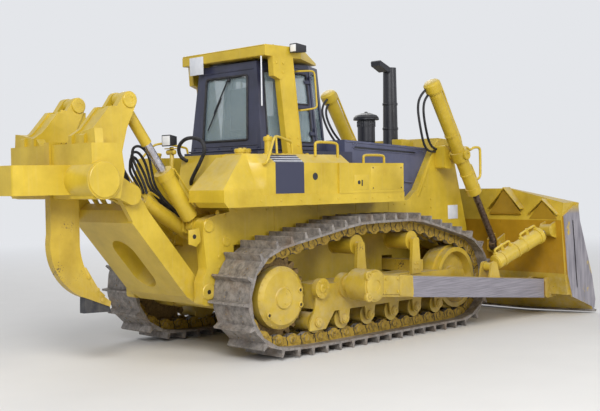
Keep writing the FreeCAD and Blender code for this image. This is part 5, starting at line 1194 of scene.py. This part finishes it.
# raised pad and lifting eyes on the roof
beads.append(flame_cut(at_height(3654, (380, -560), (980, -560), (980, 560), (380, 560)), (0, 0, 10), 0.004))
for y in (-640, 640):
    beads.append(turned(spot(520, y, 3655), (0, 0, 1), ((0, 34), (8, 34), (12, 28), (12, 14), (34, 12)), 16))
keep(joined(beads), "rops_welds", "chassis", "yellow_paint", yellow)


# Seat and controls
# Foam cushions in woven cloth with a piped seam; levers with moulded knobs on enamelled consoles.
dress("cab_controls", plastic)
knobs = []
for y, lean in ((-350, -0.1), (-410, 0.0), (350, 0.1)):
    knobs.append(turned(spot(900, y, 2838), (0.12, lean, 1), ((0, 30), (14, 30), (20, 12), (150, 10), (156, 22),
                                                              (190, 26), (214, 20), (222, 10)), 18))
keep(joined(knobs), "lever_knobs", "chassis", "black_paint", rubber)
dials = [turned(spot(1385, y, 2925), (-1, 0, 0.2), ((0, 40), (8, 40), (10, 36), (6, 33)), 24)
         for y in (-150, -50, 50, 150)]
keep(joined(dials), "dash_dial_rims", "chassis", "black_paint", plastic)

cloth, tree, bsdf = finish("woven_seat_cloth")
place = add(tree, "ShaderNodeTexCoord").outputs["Object"]
# plain weave of 3 mm threads, drawn at 6 mm so that it shows
warp = add(tree, "ShaderNodeTexWave", {"Vector": place, "Scale": 52.0, "Distortion": 0.6}, bands_direction="Y")
weft = add(tree, "ShaderNodeTexWave", {"Vector": place, "Scale": 52.0, "Distortion": 0.6}, bands_direction="X")
weave = add(tree, "ShaderNodeMath", {0: warp.outputs["Fac"], 1: weft.outputs["Fac"]}, operation="MULTIPLY")
ramp = add(tree, "ShaderNodeValToRGB", {"Fac": weave.outputs[0]})
ends(ramp, "#4A161B", "#8A3A40")
tree.links.new(ramp.outputs["Color"], bsdf.inputs["Base Color"])
bsdf.inputs["Roughness"].default_value = 0.95
bsdf.inputs["Sheen Weight"].default_value = 0.3
thread = add(tree, "ShaderNodeBump", {"Height": weave.outputs[0], "Strength": 0.3, "Distance": 0.002})
tree.links.new(thread.outputs["Normal"], bsdf.inputs["Normal"])


def cushion(low, high, name):
    """A foam cushion: a block a little small, remeshed, blown up by cloth pressure, then smoothed once."""
    clear()
    middle = (low + high) / 2
    bpy.ops.mesh.primitive_cube_add(size=1, location=middle, scale=high - low)
    pad = bpy.context.object
    bpy.ops.object.transform_apply(location=True, rotation=False, scale=True)
    soften(pad, 0.035, 3)
    # a skin of even faces, then foam pushes the cloth out by 16 mm at most
    most = 0.016
    remesh = pad.modifiers.new("skin", "REMESH")
    remesh.mode = "VOXEL"
    remesh.voxel_size = 0.011
    clear()
    bpy.context.view_layer.objects.active = pad
    bpy.ops.object.modifier_apply(modifier=remesh.name)
    before = [vertex.co.copy() for vertex in pad.data.vertices]
    cover = pad.modifiers.new("cover", "CLOTH")
    cover.settings.use_pressure = True
    cover.settings.uniform_pressure_force = 4.0
    cover.settings.effector_weights.gravity = 0.0
    cover.settings.quality = 5
    for step in range(1, 16):
        bpy.context.scene.frame_set(step)
    bpy.context.view_layer.objects.active = pad
    bpy.ops.object.modifier_apply(modifier=cover.name)
    for vertex, was in zip(pad.data.vertices, before):
        moved = vertex.co - was
        if moved.length > most:
            vertex.co = was + moved.normalized() * most
    bpy.context.scene.frame_set(1)
    smooth = pad.modifiers.new("smooth", "SUBSURF")
    smooth.levels = smooth.render_levels = 1
    clear()
    bpy.context.view_layer.objects.active = pad
    bpy.ops.object.modifier_apply(modifier=smooth.name)
    keep(pad, name, "chassis", "seat_cover", cloth, angle=60)
    return pad


bottom = cushion(spot(585, -238, 2716), spot(1022, 238, 2808), "seat_cushion")
cushion(spot(556, -228, 2842), spot(642, 228, 3232), "seat_back")
gasket(at_height(2762, (572, -251), (1034, -251), (1034, 251), (572, 251)), 40, 5, "seat_piping", "chassis")
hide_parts("seat")
# sheet steel pan, slides and suspension box under the cushion
pan = flame_cut(at_height(2660, (575, -235), (1010, -235), (1010, 235), (575, 235)), (0, 0, 50), 0.012)
stand = flame_cut(at_height(2446, (620, -180), (960, -180), (960, 180), (620, 180)), (0, 0, 214), 0.02)
spine = flame_cut(at_side(-190, (535, 2700), (553, 2700), (553, 3200), (535, 3200)), (0, 380, 0), 0.006)
keep(joined([pan, stand, spine]), "seat_stand", "chassis", "black_paint", plastic)


# Ripper
# Welded box frame that hangs from the rear bracket on pins; a single forged shank held in its beam.
for node in ("ripper_arm", "ripper_beam", "ripper_tilt_barrels", "ripper_lift_barrels", "ripper_tilt_forks"):
    dress(node, yellow)
shank_enamel = enamel("chipped_shank_enamel", ("#A98C22", "#C9AA34"), "#B5A78A", 0.36, 0.5)
dress("ripper_shank", shank_enamel)
for node in ("ripper_tilt_rods", "ripper_lift_rods"):
    dress(node, bright_rod)
dress("ripper_tooth", black)
# heads of the pins at the arm's feet, the beam's hinge and the horns
pins_a, pins_b = [], []
for side in (-1, 1):
    pins_a.append(turned(spot(-640, side * 728, 790), (0, side, 0),
                         ((0, 92), (10, 92), (18, 84), (18, 40), (14, 38)), 30))
    pins_a.append(turned(spot(-620, side * 728, 1540), (0, side, 0),
                         ((0, 76), (10, 76), (18, 68), (18, 30), (14, 28)), 28))
    pins_a.append(turned(spot(-360, side * 728, 1350), (0, side, 0),
                         ((0, 60), (8, 60), (14, 54), (14, 24), (10, 22)), 24))
    pins_b.append(turned(spot(-1580, side * 558, 1910), (0, side, 0),
                         ((0, 84), (12, 84), (20, 76), (20, 34), (15, 32)), 28))
keep(joined(pins_a), "ripper_bracket_pins", "chassis", "yellow_paint", yellow)
# cross tube between the hinge's two pins
pins_b.append(turned(spot(-1580, -545, 1910), (0, 1, 0), ((0, 46), (2, 50), (1088, 50), (1090, 46)), 28))
keep(joined(pins_b), "ripper_hinge_pins", "ripper_arm", "yellow_paint", yellow)
# the dark discs in the pin bores are painted shade with old grease
for x, y, z, r, name, body in ((-1580, 577, 1910, 22, "ripper_hinge_bores", "ripper_arm"),
                               (-640, 744, 790, 26, "ripper_foot_bores", "chassis")):
    dots = [turned(spot(x, side * y, z), (0, side, 0), ((0, r), (2.5, r - 1)), 14) for side in (-1, 1)]
    keep(joined(dots), name, body, "black_paint", grease_and_shade)
horn = []
for side in (-1, 1):
    for y, way in ((638, 1), (352, -1)):
        horn.append(turned(spot(-1600, side * y, 2920), (0, side * way, 0),
                           ((0, 88), (10, 88), (18, 80), (18, 34), (13, 32)), 28))
    # end caps of the beam's tube
    horn.append(turned(spot(-2080, side * 848, 2070), (0, side, 0), ((0, 186), (10, 186), (16, 178), (16, 60)), 44))
    # round pin through the push block and shank
    horn.append(turned(spot(-2055, 0, 2300), (0, side, 0), ((60, 52), (120, 52), (128, 44)), 24))
keep(joined(horn), "ripper_beam_pins", "ripper_beam", "yellow_paint", yellow)
# plates with a lifting hole: on the bracket's side and by the left horn
eyes = []
for side in (-1, 1):
    eyes.append(flame_cut(at_side(side * 706, (-905, 1500), (-755, 1520), (-730, 1370), (-800, 1310), (-905, 1340)),
                          (0, side * 24, 0), 0.006))
keep(joined(eyes), "bracket_eye_plates", "chassis", "yellow_paint", yellow)
# the lifting holes are dark discs: painted shade
holes = [turned(spot(-828, side * 729, 1425), (0, side, 0), ((0, 27), (2.5, 26)), 18) for side in (-1, 1)]
keep(joined(holes), "bracket_eye_holes", "chassis", "black_paint", grease_and_shade)
lug = flame_cut(at_side(380, (-1483, 2846), (-1809, 2868), (-1800, 2450), (-1500, 2450)), (0, 30, 0), 0.005)
keep(lug, "left_horn_plate", "ripper_beam", "yellow_paint", yellow)
# its hole, a dark disc of painted shade
keep(turned(spot(-1640, 379, 2760), (0, -1, 0), ((0, 34), (2.5, 33)), 18), "left_horn_hole", "ripper_beam",
     "black_paint", grease_and_shade)
# pipes and ports of the tilt and lift cylinders: mm across to one, its radius, and its barrel's length
for body, base, head, y, r, run in (("ripper_tilt_cylinders", (-620, 1540), (-1600, 2920), 480, 95, 760),
                                    ("ripper_lift_barrels", (-360, 1350), (-1400, 1970), 235, 90, 960)):
    way = Vector((head[0] - base[0], 0, head[1] - base[1])).normalized()
    crown = Vector((way.z, 0, -way.x))
    ports, bolts = [], []
    for side, word in hands:
        foot = spot(base[0], side * y, base[1])
        for h in (170, run - 60):
            ports.append(turned(foot + way * (h / 1000) + crown * ((r - 10) / 1000), crown,
                                ((0, 30), (34, 28), (40, 22), (40, 14)), 6))
        ports.append(turned(foot, way, ((run - 86, r), (run - 82, r + 12), (run - 14, r + 12), (run - 10, r + 2),
                                        (run - 10, r - 20)), 32))
        bolts += ring_round(way, crown, foot + way * ((run - 10) / 1000), (r - 8) / 1000, 8)
        bends = [foot + way * (h / 1000) + crown * ((r + out) / 1000) for h, out in
                 ((170, 26), (170, 48), (200, 56), (run - 100, 56), (run - 62, 48), (run - 60, 26))]
        oil_pipe(bends, 10, body + "_pipe_" + word, body)
    keep(joined(ports), body + "_ports", body, "yellow_paint", yellow)
    keep(copies(bolt_head(9, washer=False), bolts), body + "_bolts", body, "yellow_paint", yellow)
# shank protector held by two pins, and the tooth's pin
guards = [flame_cut(at_side(-54, (-1842, 1120), (-1800, 1120), (-1640, 860), (-1560, 790), (-1600, 740),
                            (-1700, 830)), (0, 108, 0), 0.008)]
for x, z in ((-1770, 1010), (-1660, 860), (-1600, 740)):
    for side in (-1, 1):
        guards.append(turned(spot(x, side * 48, z), (0, side, 0), ((0, 26), (10, 25), (13, 18), (13, 8)), 16))
keep(joined(guards), "shank_protector", "ripper_beam", "yellow_paint", shank_enamel)
places = [facing(spot(x, side * 730, z), (0, side, 0)) for side in (-1, 1)
           for x, z in ((-480, 1180), (-330, 1180), (-480, 1060), (-330, 1060), (-480, 1680), (-360, 1640))]
keep(copies(bolt_head(20), places), "ripper_bracket_bolts", "chassis", "yellow_paint", yellow)


# Hoses
# Black rubber hose with braided wire inside, 30 to 44 mm thick, from one port to the other.


def hose(points, thick, name, body):
    """A free hose along a smooth route through its points, from one port to the other."""
    piece = bent_line(points, thick / 2, name, 12, 4)
    piece.data.materials.append(rubber)
    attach(piece, body)
    tuple(points[0])


for side, word in hands:
    # two hoses from each lift cylinder's head, down behind it and in towards the guard's upper corner
    hose(on_barrel(side, (-1.13, -0.09, 0.05), (-1.13, -0.22, 0.06), (-1.02, -0.36, 0.08), (-0.72, -0.42, 0.12),
                   (-0.42, -0.40, 0.20), (-0.22, -0.26, 0.28), (-0.12, -0.08, 0.325)), 34,
         "lift_hose_outer_" + word, "lift_barrel_" + word)
    hose(on_barrel(side, (-1.05, -0.10, 0.04), (-1.04, -0.20, 0.05), (-0.90, -0.30, 0.07), (-0.62, -0.33, 0.12),
                   (-0.38, -0.28, 0.20), (-0.20, -0.14, 0.28), (-0.10, 0, 0.325)), 34,
         "lift_hose_inner_" + word, "lift_barrel_" + word)
    # three hoses arch over each ripper lift cylinder, from its gland's port to its foot
    for number, across, rise in ((1, 295, 0), (2, 235, -62), (3, 175, -118)):
        y = side * across
        hose(at_side(y, (-1150, 1915), (-1165, 1990), (-1250 + rise * 0.3, 2150), (-1345 - rise * 0.5, 2330 + rise),
                     (-1320 - rise * 0.4, 2440 + rise), (-1210, 2446 + rise), (-1110 + rise * 0.3, 2350 + rise),
                     (-1075, 2170 + rise * 0.5), (-1040, 2000), (-900, 1830), (-760, 1720), (-690, 1640)), 30,
             "ripper_hose_%d_%s" % (number, word), "ripper_lift_barrels")
# the thick hose that loops over the tank's rear edge
hose(route((-392, -80, 2290), (-450, -80, 2305), (-520, -86, 2375), (-545, -120, 2470), (-550, -250, 2545),
           (-545, -420, 2550), (-540, -560, 2500), (-535, -590, 2390), (-525, -470, 2240), (-505, -340, 2120),
           (-480, -250, 2040), (-446, -215, 2015)), 44, "tank_hose", "chassis")

low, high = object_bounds()
